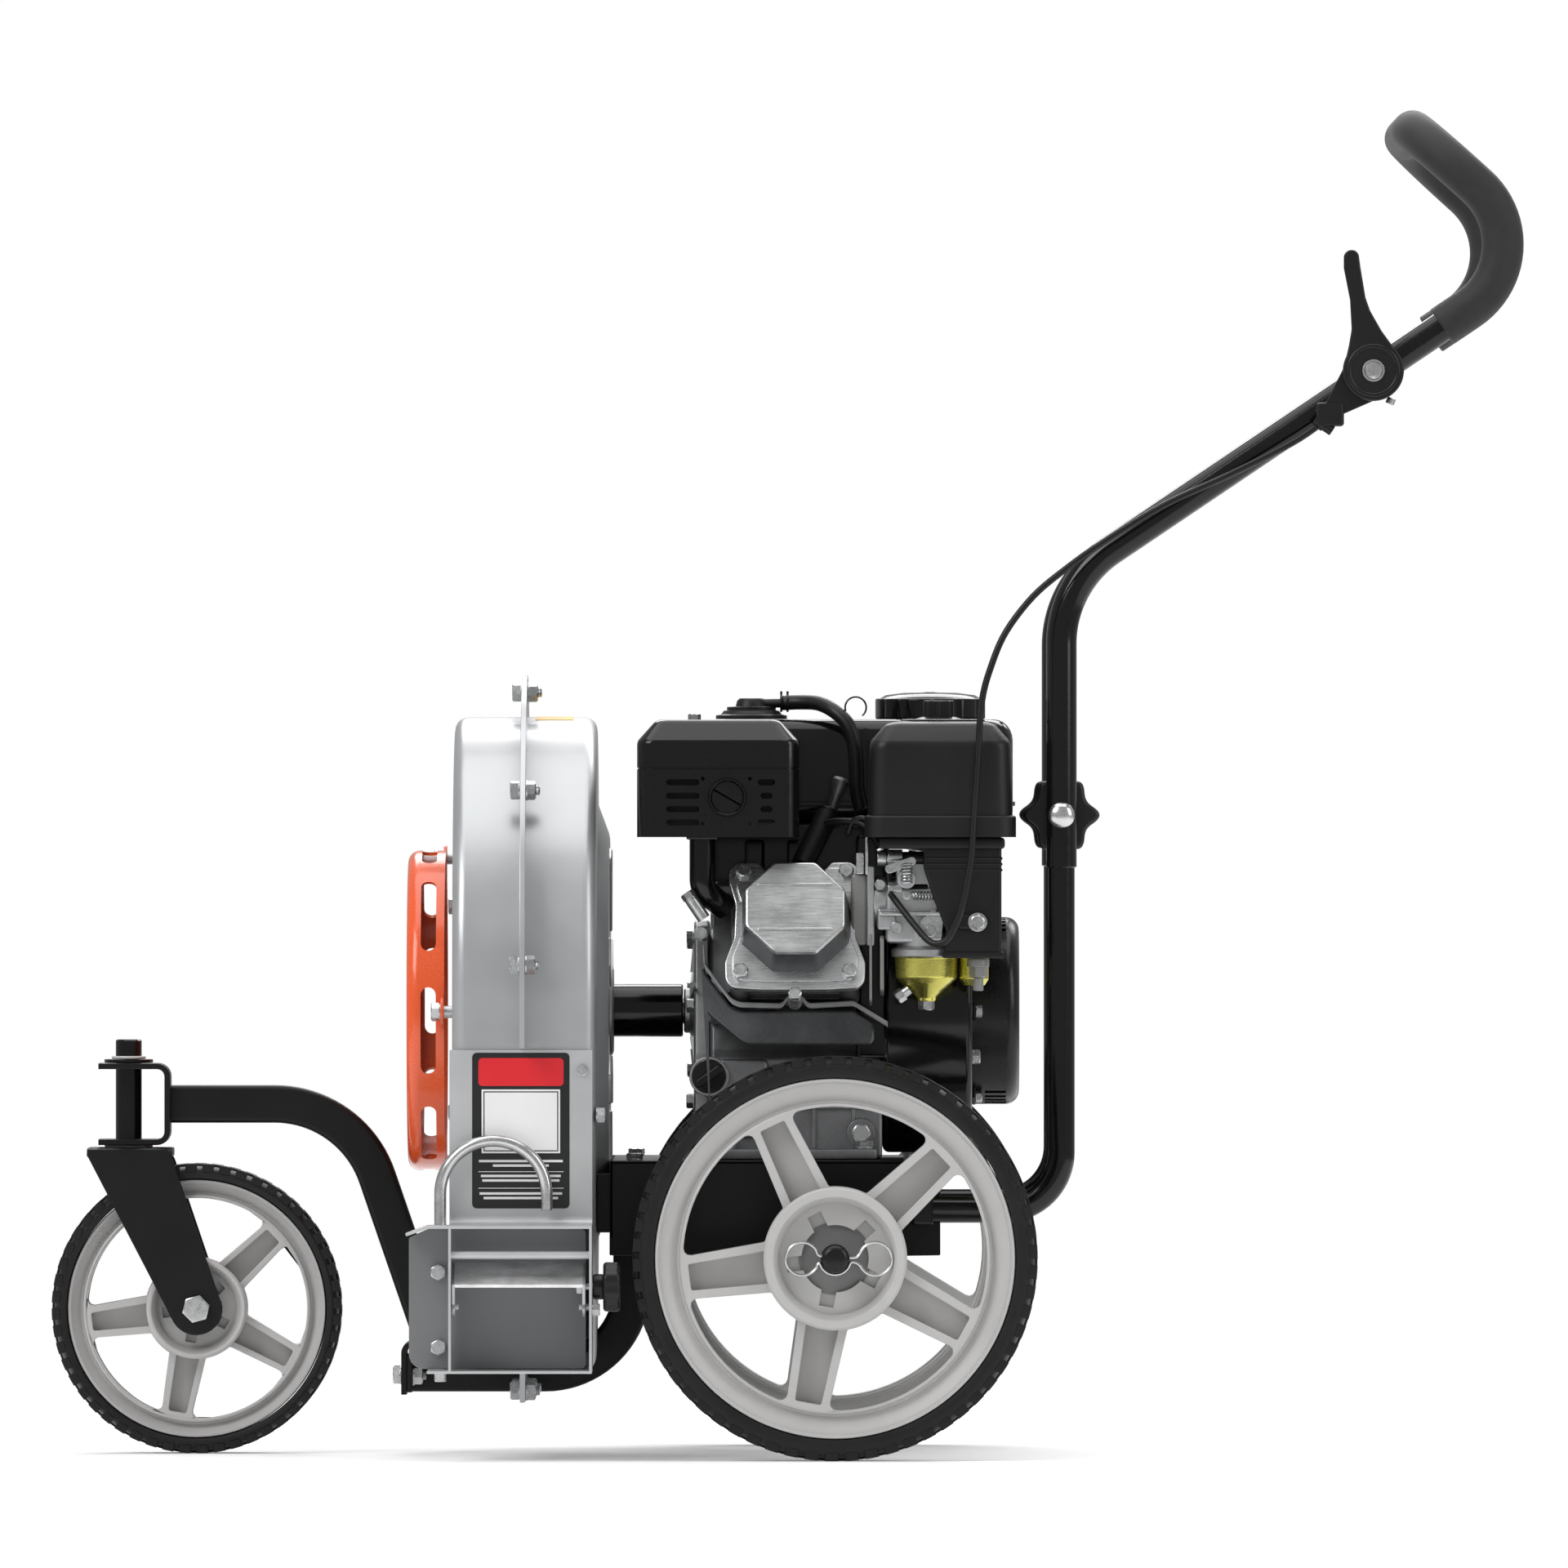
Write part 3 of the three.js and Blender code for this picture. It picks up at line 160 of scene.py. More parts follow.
class Shape:
    """Closed solids gathered in one list and made into a piece at the end."""

    def __init__(self, place=None):
        self.place = place or Matrix.Identity(4)
        self.verts = []
        self.faces = []

    def put(self, verts, faces):
        start = len(self.verts)
        self.verts += [self.place @ Vector(v) for v in verts]
        self.faces += [[start + i for i in f] for f in faces]

    def lathe(self, axis, profile, at=(0, 0, 0), sides=48):
        """A profile of (radius, distance along the axis) turned about the axis through a point."""
        closed = tuple(profile[0]) == tuple(profile[-1])
        verts, rows, faces = [], [], []
        for r, along in profile[:-1] if closed else profile:
            count = sides if r > 1e-6 else 1
            rows.append([len(verts) + k % count for k in range(sides)])
            for k in range(count):
                a = 2 * math.pi * k / sides
                verts.append(spun(axis, r, a, along, at))
        for low, high in zip(rows, rows[1:] + (rows[:1] if closed else [])):
            for k in range(sides):
                n = (k + 1) % sides
                face = list(dict.fromkeys([low[k], low[n], high[n], high[k]]))
                if len(face) > 2:
                    faces.append(face)
        if not closed:
            faces += [row for row in (rows[0], rows[-1]) if row[0] != row[1]]
        self.put(verts, faces)

    def disc(self, axis, radius, a, b, at=(0, 0, 0), soft=0.6, sides=40, bore=0):
        """A round bar or ring from a to b, its rims softened."""
        s = min(soft, abs(b - a) / 2) * (1 if b > a else -1)
        outer = [(radius - abs(s), a), (radius - abs(s) * 0.3, a + s * 0.3), (radius, a + s)]
        outer += [(radius, b - s), (radius - abs(s) * 0.3, b - s * 0.3), (radius - abs(s), b)]
        ends = ((bore, a), (bore, b)) if bore else ((0, a), (0, b))
        profile = [ends[0], *outer, ends[1]]
        self.lathe(axis, profile + [ends[0]] if bore else profile, at, sides)

    def prism(self, axis, outline, a, b, soft=0.6, holes=(), steps=1):
        """An outline (Y-Z for X, X-Z for Y, X-Y for Z) with a thickness from a to b and softened edges."""
        curve = bpy.data.curves.new("outline", "CURVE")
        curve.dimensions, curve.fill_mode = "2D", "BOTH"
        curve.extrude = (b - a) / 2 - soft
        curve.bevel_depth, curve.bevel_resolution, curve.offset = soft, steps, -soft
        for loop in (outline, *holes):
            line = curve.splines.new("POLY")
            line.points.add(len(loop) - 1)
            for point, (u, v) in zip(line.points, loop):
                point.co = (u, v, 0, 1)
            line.use_cyclic_u = True
        holder = bpy.data.objects.new("outline", curve)
        mesh = bpy.data.meshes.new_from_object(holder)
        bpy.data.objects.remove(holder)
        bpy.data.curves.remove(curve)
        index, verts, moved = {}, [], []
        for vertex in mesh.vertices:
            key = tuple(round(c, 3) for c in vertex.co)
            if key not in index:
                index[key] = len(verts)
                verts.append(laid(axis, key[0], key[1], key[2] + (a + b) / 2))
            moved.append(index[key])
        faces = []
        for polygon in mesh.polygons:
            face = list(dict.fromkeys(moved[i] for i in polygon.vertices))
            if len(face) > 2:
                faces.append(face)
        bpy.data.meshes.remove(mesh)
        self.put(verts, faces)

    def box(self, x0, x1, y0, y1, z0, z1, soft=0.8, axis="Z"):
        xs, ys, zs = (x0, x1), (y0, y1), (z0, z1)
        (u0, u1), (v0, v1), (a, b) = {"X": (ys, zs, xs), "Y": (xs, zs, ys), "Z": (xs, ys, zs)}[axis]
        soft = min(soft, (u1 - u0) / 2.01, (v1 - v0) / 2.01, (b - a) / 2.01)
        self.prism(axis, rect(u0, u1, v0, v1, soft, 3), a, b, soft)

    def tube(self, points, section, up=(0, 1, 0), ends=0.0):
        """A closed section of (across, up) points swept along a line, its ends drawn in a little."""
        points = [Vector(p) for p in points]
        rows, verts = [], []
        normal = Vector(up)
        stations = []
        for i, point in enumerate(points):
            along = (points[min(i + 1, len(points) - 1)] - points[max(i - 1, 0)]).normalized()
            normal = (normal - along * normal.dot(along)).normalized()
            stations.append((point, normal.copy(), along.cross(normal), along))
        if ends:
            first, last = stations[0], stations[-1]
            stations = [(first[0], *first[1:], 1 - ends)] + [(first[0] + first[3] * 0.8,
                                                              *first[1:])] + stations[1:]
            stations = stations[:-1] + [(last[0] - last[3] * 0.8, *last[1:]), (last[0], *last[1:], 1 - ends)]
        for station in stations:
            scale = station[4] if len(station) > 4 else 1
            rows.append(range(len(verts), len(verts) + len(section)))
            verts += [station[0] + (station[1] * v + station[2] * u) * scale for u, v in section]
        count = len(section)
        faces = [
            [low[k], low[(k + 1) % count], high[(k + 1) % count], high[k]]
            for low, high in zip(rows, rows[1:])
            for k in range(count)
        ]
        self.put(verts, faces + [list(rows[0]), list(rows[-1])])

    def pipe(self, points, radius, sides=16, ends=0.15):
        self.tube(points, circle(0, 0, radius, sides), ends=ends)

    def hexhead(self, axis, at, across, a, b, turn=0):
        """A hexagon head or nut from a to b, its b end chamfered."""
        corner = across / math.sqrt(3)
        chamfer = (b - a) * 0.16
        rows = []
        for level, kind in ((a, "flat"), (b - chamfer, "hex"), (b, "round")):
            row = []
            for k in range(12):
                angle = math.radians(turn + 30 * k)
                tip = k % 2 == 0
                radius = corner if tip else across / 2
                along = level
                if kind == "hex" and not tip:
                    along = b - chamfer * 0.35
                if kind == "round":
                    radius = across / 2 * 0.93
                row.append(spun(axis, radius, angle, along, at))
            rows.append(row)
        verts = [v for row in rows for v in row]
        faces = [list(range(12)), list(range(24, 36))]
        for low in (0, 12):
            for k in range(12):
                n = (k + 1) % 12
                faces.append([low + k, low + n, low + 12 + n, low + 12 + k])
        self.put(verts, faces)

    def thread(self, axis, at, radius, a, b, pitch=1.25):
        """The visible end of a screw, with its thread as fine rings."""
        count = max(2, int(abs(b - a) / pitch))
        step = (b - a) / count
        profile = [(0, a)]
        for k in range(count):
            profile += [(radius * 0.86, a + step * k), (radius, a + step * (k + 0.5))]
        self.lathe(axis, profile + [(radius * 0.8, b), (0, b)], at, 20)

    def bolt(self, axis, at, across, head, nut=None, turn=0, height=None, stub=4):
        """A hexagon screw whose head rests on the plane head, with an optional nut on the plane nut."""
        way = 1 if nut is None else (1 if head > nut else -1)
        if isinstance(head, tuple):
            head, way = head
        tall = height or across * 0.5
        self.disc(axis, across * 0.54, head, head + way * across * 0.1, at, 0.2, 24)
        base = head + way * across * 0.1
        self.hexhead(axis, at, across, base, base + way * tall, turn)
        if nut is not None:
            self.disc(axis, across * 0.62, nut, nut - way * across * 0.1, at, 0.2, 24)
            base = nut - way * across * 0.1
            self.hexhead(axis, at, across, base, base - way * across * 0.52, turn + 11)
            self.thread(axis, at, across * 0.3, base - way * across * 0.5,
                        base - way * (across * 0.52 + stub))

    def coil(self, axis, at, radius, wire, a, b, turns):
        """A wire coil spring."""
        steps = turns * 14
        line = []
        for k in range(steps + 1):
            angle = 2 * math.pi * turns * k / steps
            w = a + (b - a) * k / steps
            line.append(spun(axis, radius, angle, w, at))
        self.pipe(line, wire, 6)

    def mesh(self, name):
        mesh = bpy.data.meshes.new(name)
        mesh.from_pydata([v * MM for v in self.verts], [], self.faces)
        work = bmesh.new()
        work.from_mesh(mesh)
        bmesh.ops.recalc_face_normals(work, faces=work.faces)
        work.to_mesh(mesh)
        work.free()
        return mesh

    def make(self, name, finish, body="chassis", hides=(), slot=None, cuts=None, crease=CREASE):
        """The gathered solids as one piece, with the cutting shape taken out of them."""
        piece = bpy.data.objects.new(name, self.mesh(name))
        bpy.context.scene.collection.objects.link(piece)
        if cuts:
            carve(piece, cuts)
        return dressed(piece, finish, body, hides, slot, crease)


def dressed(piece, finish, body, hides=(), slot=None, crease=CREASE):
    """The piece with its finish and even shading, on its body, standing for the CAD nodes it hides."""
    piece.data.materials.clear()
    piece.data.materials.append(finish)
    piece.data.shade_smooth()
    piece.data.set_sharp_from_angle(angle=crease)
    piece.modifiers.new("even_normals", "WEIGHTED_NORMAL").keep_sharp = True
    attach(piece, body)
    slot = slot or SLOT_OF.get(finish.name)
    if hides:
        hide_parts(*([hides] if isinstance(hides, str) else hides))
    return piece


def carve(piece, cuts):
    """Takes the cutting shape out of the piece for good."""
    tool = bpy.data.objects.new("tool", cuts.mesh("tool"))
    bpy.context.scene.collection.objects.link(tool)
    step = piece.modifiers.new("carve", "BOOLEAN")
    step.operation, step.solver, step.object = "DIFFERENCE", "EXACT", tool
    step.use_self = True
    bpy.context.view_layer.update()
    result = bpy.data.meshes.new_from_object(piece.evaluated_get(bpy.context.evaluated_depsgraph_get()))
    piece.modifiers.clear()
    piece.data = result
    bpy.data.objects.remove(tool)


def about(axis, degrees, centre=(0, 0, 0)):
    """A turn about an axis through a point."""
    shift = Matrix.Translation(centre)
    return shift @ Matrix.Rotation(math.radians(degrees), 4, axis) @ shift.inverted()


def stood(at, degrees, axis):
    """A turn about an axis through the origin, then a move to a point."""
    return Matrix.Translation(at) @ Matrix.Rotation(math.radians(degrees), 4, axis)


# ---------------------------------------------------------------- materials


def node(tree, kind, links=(), **settings):
    made = tree.nodes.new(kind)
    for key, value in settings.items():
        setattr(made, key, value)
    for socket, value in links:
        if isinstance(value, bpy.types.NodeSocket):
            tree.links.new(value, made.inputs[socket])
        else:
            made.inputs[socket].default_value = value
    return made


def noise(tree, scale, detail=4, stretch=(1, 1, 1), rough=0.6):
    """Noise over the piece's own coordinates, drawn out along an axis by stretch."""
    where = node(tree, "ShaderNodeTexCoord").outputs["Object"]
    mapped = node(tree, "ShaderNodeMapping", [("Vector", where), ("Scale", stretch)]).outputs["Vector"]
    made = node(tree, "ShaderNodeTexNoise", [("Vector", mapped), ("Scale", scale), ("Detail", detail),
                                             ("Roughness", rough)])
    return made.outputs["Fac"]


def spread(tree, value, low, high, start=0.3, end=0.7):
    """A noise value turned into a range of numbers."""
    sockets = [("Value", value), ("From Min", start), ("From Max", end), ("To Min", low), ("To Max", high)]
    return node(tree, "ShaderNodeMapRange", sockets).outputs["Result"]


def blended(tree, factor, first, second):
    mix = node(tree, "ShaderNodeMix", data_type="RGBA")
    tree.links.new(factor, mix.inputs["Factor"])
    mix.inputs["A"].default_value = (*first, 1)
    mix.inputs["B"].default_value = (*second, 1)
    return mix.outputs["Result"]


def finish(name, color, rough, metal=0.0, vary=0.12, patch=14, grain=900, depth=0.00003, swing=0.06,
           stretch=(1, 1, 1), coat=0.0, specular=0.5, sheen=0.0, detail=4):
    """A procedural finish: soft colour variation, uneven gloss and a fine relief."""
    material = bpy.data.materials.new(name)
    material.use_nodes = True
    tree = material.node_tree
    shader = tree.nodes["Principled BSDF"]
    fine = noise(tree, grain, detail, stretch)
    broad = noise(tree, patch, 3)
    tone = node(tree, "ShaderNodeMath", [(0, broad), (1, fine)], operation="ADD").outputs[0]
    dark = [c * (1 - vary) for c in color]
    light = [min(1, c * (1 + vary)) for c in color]
    tree.links.new(blended(tree, spread(tree, tone, 0, 1, 0.75, 1.25), dark, light),
                   shader.inputs["Base Color"])
    tree.links.new(spread(tree, tone, rough - swing, rough + swing, 0.75, 1.25), shader.inputs["Roughness"])
    bump = node(tree, "ShaderNodeBump", [("Strength", 1.0), ("Distance", depth), ("Height", fine)])
    tree.links.new(bump.outputs["Normal"], shader.inputs["Normal"])
    shader.inputs["Metallic"].default_value = metal
    shader.inputs["Coat Weight"].default_value = coat
    shader.inputs["Coat Roughness"].default_value = 0.08
    shader.inputs["Specular IOR Level"].default_value = specular
    shader.inputs["Sheen Weight"].default_value = sheen
    return material


black_paint = finish("black_powder_coat", (0.006, 0.006, 0.0062), 0.28, vary=0.2, grain=420, depth=0.00004,
                     specular=0.3)
gloss_black = finish("gloss_black_paint", (0.004, 0.004, 0.0042), 0.14, vary=0.2, grain=260, depth=0.00002,
                     swing=0.03, specular=0.35)
frame_black = finish("flat_black_paint", (0.0055, 0.0055, 0.0056), 0.4, vary=0.2, grain=700, depth=0.00004,
                     specular=0.22)
housing_gray = finish("silver_grey_paint", (0.43, 0.44, 0.45), 0.36, 0.55, vary=0.05, grain=2600,
                      depth=0.00001, coat=0.2)
sheet_gray = finish("silver_grey_sheet", (0.50, 0.51, 0.515), 0.42, 0.5, vary=0.06, grain=2600, depth=0.00001,
                    coat=0.1)
# Darker than the chute sheet round it: painted shade for the shadow inside the discharge duct.
flap_painted_shade = finish("silver_grey_flap_painted_shade", (0.20, 0.205, 0.21), 0.46, 0.5, vary=0.08, grain=2600, depth=0.00001)
nylon = finish("pale_nylon", (0.62, 0.61, 0.6), 0.4, vary=0.05, grain=1800)
# Dark grey for the wheel's hub well: painted shade for the shadow inside the recess round the axle.
well_painted_shade = finish("wheel_well_painted_shade", (0.15, 0.148, 0.146), 0.4, vary=0.08, grain=1800, depth=0.00003)
wheel_plastic = finish("wheel_plastic", (0.45, 0.445, 0.44), 0.42, vary=0.045, patch=30, grain=1800,
                       depth=0.00003, swing=0.05)
tyre_rubber = finish("tyre_rubber", (0.0065, 0.0065, 0.0066), 0.5, vary=0.3, patch=40, grain=1500,
                     depth=0.00008, specular=0.28)
grip_foam = finish("grip_foam", (0.017, 0.017, 0.0175), 0.62, vary=0.3, patch=60, grain=2400, depth=0.00016,
                   specular=0.35, sheen=0.12)
guard_orange = finish("guard_orange", (0.78, 0.10, 0.022), 0.24, vary=0.06, grain=520, depth=0.00003,
                      coat=0.3)
black_plastic = finish("black_plastic", (0.0075, 0.0075, 0.0078), 0.4, specular=0.3, vary=0.2, grain=2200,
                       depth=0.00004)
knob_plastic = finish("knob_plastic", (0.011, 0.011, 0.011), 0.3, specular=0.3, vary=0.2, grain=1600,
                      depth=0.00003)
hose_rubber = finish("hose_rubber", (0.007, 0.007, 0.007), 0.38, specular=0.3, vary=0.25, grain=900,
                     depth=0.00004)
cast_aluminium = finish("cast_aluminium", (0.42, 0.425, 0.43), 0.4, 0.9, vary=0.12, patch=40, grain=1600,
                        depth=0.00008, swing=0.08)
# Dark cast grey: the own colour of the drum brackets and the choke knob, and painted shade on the rocker
# cover's sloping wall and on the cylinder baffle.
dark_casting_and_painted_shade = finish("dark_casting_and_painted_shade", (0.115, 0.118, 0.122), 0.4, 0.75, vary=0.25, patch=45, grain=1100,
                      depth=0.00014, swing=0.1)
mid_casting = finish("grey_casting", (0.26, 0.263, 0.27), 0.4, 0.75, vary=0.16, patch=35, grain=1500,
                     depth=0.00008, swing=0.08)
brushed = finish("brushed_aluminium", (0.60, 0.605, 0.61), 0.3, 0.95, vary=0.1, patch=25, grain=60,
                 depth=0.00004,
                 stretch=(1, 14, 22), swing=0.09, detail=8)
plain_steel = finish("zinc_steel", (0.50, 0.505, 0.51), 0.3, 0.95, vary=0.14, patch=160, grain=1600,
                     depth=0.00002, swing=0.1)
bright_steel = finish("bright_steel", (0.58, 0.58, 0.585), 0.24, 0.98, vary=0.06, patch=120, grain=1500,
                      depth=0.00001)
vane_steel = finish("ground_steel", (0.78, 0.78, 0.785), 0.42, 0.6, vary=0.22, patch=40, grain=150,
                    depth=0.00005,
                    stretch=(1, 9, 9), swing=0.12, detail=8)
yellow_zinc = finish("yellow_zinc", (0.60, 0.56, 0.13), 0.26, 0.9, vary=0.08, patch=30, grain=200,
                     depth=0.00002,
                     stretch=(1, 1, 12), swing=0.08, detail=6)
clear_plastic = finish("pale_plastic", (0.26, 0.26, 0.25), 0.35, 0.3, vary=0.1, grain=900)
label_black = finish("label_black", (0.008, 0.008, 0.008), 0.34, vary=0.1, grain=1400, depth=0.00001)
label_red = finish("label_red", (0.66, 0.012, 0.02), 0.36, vary=0.05, grain=1400, depth=0.00001)
label_white = finish("label_white", (0.78, 0.78, 0.78), 0.4, vary=0.04, grain=1400, depth=0.00001)
label_yellow = finish("label_yellow", (0.72, 0.40, 0.03), 0.38, vary=0.08, grain=1400, depth=0.00001)


# The record's material slot that each finish stands for, unless a piece names another.
# The label finishes have none.
SLOTS = {
    "black_paint": [black_paint, gloss_black, frame_black],
    "black_plastic": [black_plastic, knob_plastic],
    "housing_gray": [housing_gray, sheet_gray, flap_painted_shade, vane_steel],
    "wheel_plastic": [wheel_plastic, well_painted_shade],
    "cast_aluminium": [cast_aluminium, mid_casting, dark_casting_and_painted_shade, clear_plastic],
    "plain_steel": [plain_steel, nylon, brushed],
    "bright_steel": [bright_steel],
    "yellow_zinc": [yellow_zinc],
    "tyre_rubber": [tyre_rubber],
    "hose_rubber": [hose_rubber],
    "grip_foam": [grip_foam],
    "guard_orange": [guard_orange],
}
SLOT_OF = {material.name: slot for slot, group in SLOTS.items() for material in group}


# ---------------------------------------------------------------- wheels

SHAFT_Z = 336
SHAFT = (0, 0, SHAFT_Z)
REAR = {"x": 38, "y": 235, "z": 152, "radius": 152, "lip": 135.5, "inner": 114, "hub": 53.6, "half": 20,
        "tyre": 22,
        "wide": 38, "narrow": 32, "rib": 6.3, "depth": 17, "near": -30, "far": 24, "bore": 10.6, "well": 42,
        "blocks": 62}
FRONT = {"x": -446, "y": 0, "z": 110, "radius": 110, "lip": 98.2, "inner": 83.8, "hub": 38, "half": 19,
         "tyre": 23,
         "wide": 27, "narrow": 22, "rib": 4.4, "depth": 15, "near": -29.5, "far": 29.5, "bore": 6.5,
         "well": 30,
         "blocks": 52}
FIRST_SPOKE = 43.4
SPOKES = 5


def spoke_edge(w, radius, side, inset=0.0):
    """How far round the spoke's edge is from its middle at a radius, in degrees."""
    share = (radius - w["hub"]) / (w["inner"] - w["hub"])
    half = (w["wide"] + (w["narrow"] - w["wide"]) * share) / 2 - inset
    return side * math.degrees(math.asin(half / radius))


def polar(radius, angle):
    return radius * math.cos(math.radians(angle)), radius * math.sin(math.radians(angle))


def spoke_window(w, turn):
    """The opening between one spoke and the next."""
    low, high = w["hub"] + 0.5, w["inner"]
    step = 360 / SPOKES
    outer = (turn + spoke_edge(w, high, 1), turn + step + spoke_edge(w, high, -1))
    inner = (turn + spoke_edge(w, low, 1), turn + step + spoke_edge(w, low, -1))
    corners = [(*polar(low, inner[0]), 2), (*polar(high, outer[0]), 5)]
    corners += [polar(high, outer[0] + (outer[1] - outer[0]) * k / 14) for k in range(1, 14)]
    corners += [(*polar(high, outer[1]), 5), (*polar(low, inner[1]), 2)]
    corners += [polar(low, inner[1] + (inner[0] - inner[1]) * k / 8) for k in range(1, 8)]
    return rounded(corners, 3)


def spoke_pocket(w, turn, margin=0.0):
    low, high = w["hub"] - 2 - margin, w["inner"] - 3.6 + margin
    inset = w["rib"] - margin
    edge = [polar(low, turn + spoke_edge(w, low + 2, s, inset)) for s in (-1, 1)]
    far = [polar(high, turn + spoke_edge(w, high, s, inset)) for s in (1, -1)]
    return rounded([(*edge[0], 1), (*edge[1], 1), (*far[0], 1.5), (*far[1], 1.5)], 2)


def wheel(name, w, side, body, hides):
    """A moulded five-spoke wheel, its open hub turned outwards, with its tyre."""
    place = Matrix.Translation((w["x"], side * w["y"], w["z"]))
    place = place @ Matrix.Diagonal((1, -side, 1, 1))
    rim = Shape(place)
    lip, inner, half, deep = w["lip"], w["inner"], w["half"], w["depth"]
    edge = [(lip, 1.6 - half), (lip - 0.8, -half), (lip - 2.4, -half), (lip - 3.4, 1 - half),
            (lip - 4.2, 4 - half)]
    edge += [(inner + 4.6, 10 - half), (inner + 3, 8.6 - half), (inner + 2.2, 3.6 - half),
             (inner + 0.8, 3 - half)]
    edge += [(inner, 3.6 - half)]
    far = [(r, -y) for r, y in reversed(edge)]
    rim.lathe("Y", edge + far + [edge[0]], sides=128)
    turns = [FIRST_SPOKE + 360 / SPOKES * k for k in range(SPOKES)]
    windows = [spoke_window(w, t) for t in turns]
    pockets = [spoke_pocket(w, t) for t in turns]
    hole = circle(0, 0, w["hub"] - 8, 60)
    rim.prism("Y", circle(0, 0, inner + 1.4, 120), -deep, deep, 0.9, [*windows, *pockets, hole], 2)
    for turn in turns:
        rim.prism("Y", spoke_pocket(w, turn, 1.2), -2, deep - 1, 0.3)
    near, back, hub, well = w["near"], w["far"], w["hub"], w["well"]
    ring = [(well, near + 14), (well, near + 7), (well + 4, near + 0.6), (well + 5, near), (hub - 1.6, near)]
    ring += [(hub, near + 1.6), (hub, back - 1.6), (hub - 1.6, back), (well + 4, back), (well, back - 4)]
    rim.lathe("Y", ring + [ring[0]], sides=96)
    floor = near + 15
    notch_in, notch_out, notch_half = well * 0.6, well * 0.87, well * 0.13
    outline = []
    for turn in sorted((t + 0.001) % 360 for t in turns):
        gapped = math.degrees(math.asin(notch_half / notch_in))
        after = turn + 360 / SPOKES
        u, v = polar(1, turn)
        for reach, across in ((notch_in, -1), (notch_out, -1), (notch_out, 1), (notch_in, 1)):
            along = math.sqrt(reach**2 - notch_half**2) if reach == notch_in else reach
            outline.append((u * along - v * across * notch_half, v * along + u * across * notch_half))
        start, end = turn + gapped, after - gapped
        outline += [polar(notch_in, start + (end - start) * k / 8) for k in range(1, 8)]
    rim.prism("Y", circle(0, 0, well + 1, 64), floor, floor + 6, 0.5, [outline])
    rim.disc("Y", well + 1, floor + 5.5, back - 3, soft=0.5, bore=w["bore"])
    rim.make(f"{name}_rim_moulding", wheel_plastic, body, hides[0])
    # The hub cone is dark grey: painted shade for the shadow inside the hub's recess.
    cone = Shape(place)
    cone.lathe("Y", [(w["bore"], floor + 2), (w["bore"] + 1.6, floor + 2), (notch_in - 0.4, floor + 4.6),
                     (notch_in + 2, floor + 4.6),
                     (notch_in + 2, floor + 5.4), (w["bore"], floor + 5.4), (w["bore"], floor + 2)], sides=72)
    cone.make(f"{name}_hub_cone", well_painted_shade, body)
    tyre(name, w, place, body, hides[1])


def tyre(name, w, place, body, hides):
    rubber = Shape(place)
    top, lip, half = w["radius"], w["lip"], w["tyre"]
    wall = [(lip + 0.5, 1 - half), (lip + 2, 0.4 - half), (lip + 5, -half), (top - 8, 0.1 - half),
            (top - 6.4, 1 - half)]
    wall += [(top - 5.2, 1.2 - half), (top - 4, 3 - half), (top - 2.6, 7 - half), (top - 2, 12 - half)]
    far = [(r, -y) for r, y in reversed(wall)]
    rubber.lathe("Y", wall + far + [wall[0]], sides=144)
    rubber.lathe("Y", [(top - 4, -4), (top - 0.5, -4), (top, -3), (top, 3), (top - 0.5, 4), (top - 4, 4),
                       (top - 4, -4)], sides=144)
    step = 360 / w["blocks"]
    for k in range(w["blocks"]):
        for side in (-1, 1):
            turn = step * (k + (0.5 if side > 0 else 0))
            outline = sector(0, 0, top - 6.5, top, turn, turn + step * 0.66, 2)
            a, b = sorted((side * (half - 0.5), side * (half - 14)))
            rubber.prism("Y", outline, a, b, 0.7)
    rubber.make(f"{name}_tyre_tread", tyre_rubber, body, hides)


def wheel_clip(name, side):
    """A bow-tie wire spring: a loop on each side of the axle and a saddle under it."""
    loop, reach_left, reach_right = 12.4, 24.6, 30.2
    left = [(-9.5, 2.2), (-12, 2.6), (-13.4, 4.6)] + arc(-reach_left, 0, loop, 32, 328, 22) + [(-13.4, -4.6),
                                                                                               (-12, -3)]
    saddle = arc(0, 0, 11.8, 196, 344, 10)
    right = [(13, -2.4), (16, -3), (18.4, -4.8)] + arc(reach_right, 0, loop, 208, 512,
                                                       22) + [(18.4, 4.2), (16, 1.2), (11, 0.8)]
    route = [(x, 0, z) for x, z in left + saddle + right]
    wire = Shape(Matrix.Translation((REAR["x"], side * (REAR["y"] + 27), REAR["z"])))
    wire.pipe(spline(route, 2), 1.15, 8)
    wire.make(f"clip_wire_{name}", bright_steel, "chassis", f"wheel_clip_{name}")


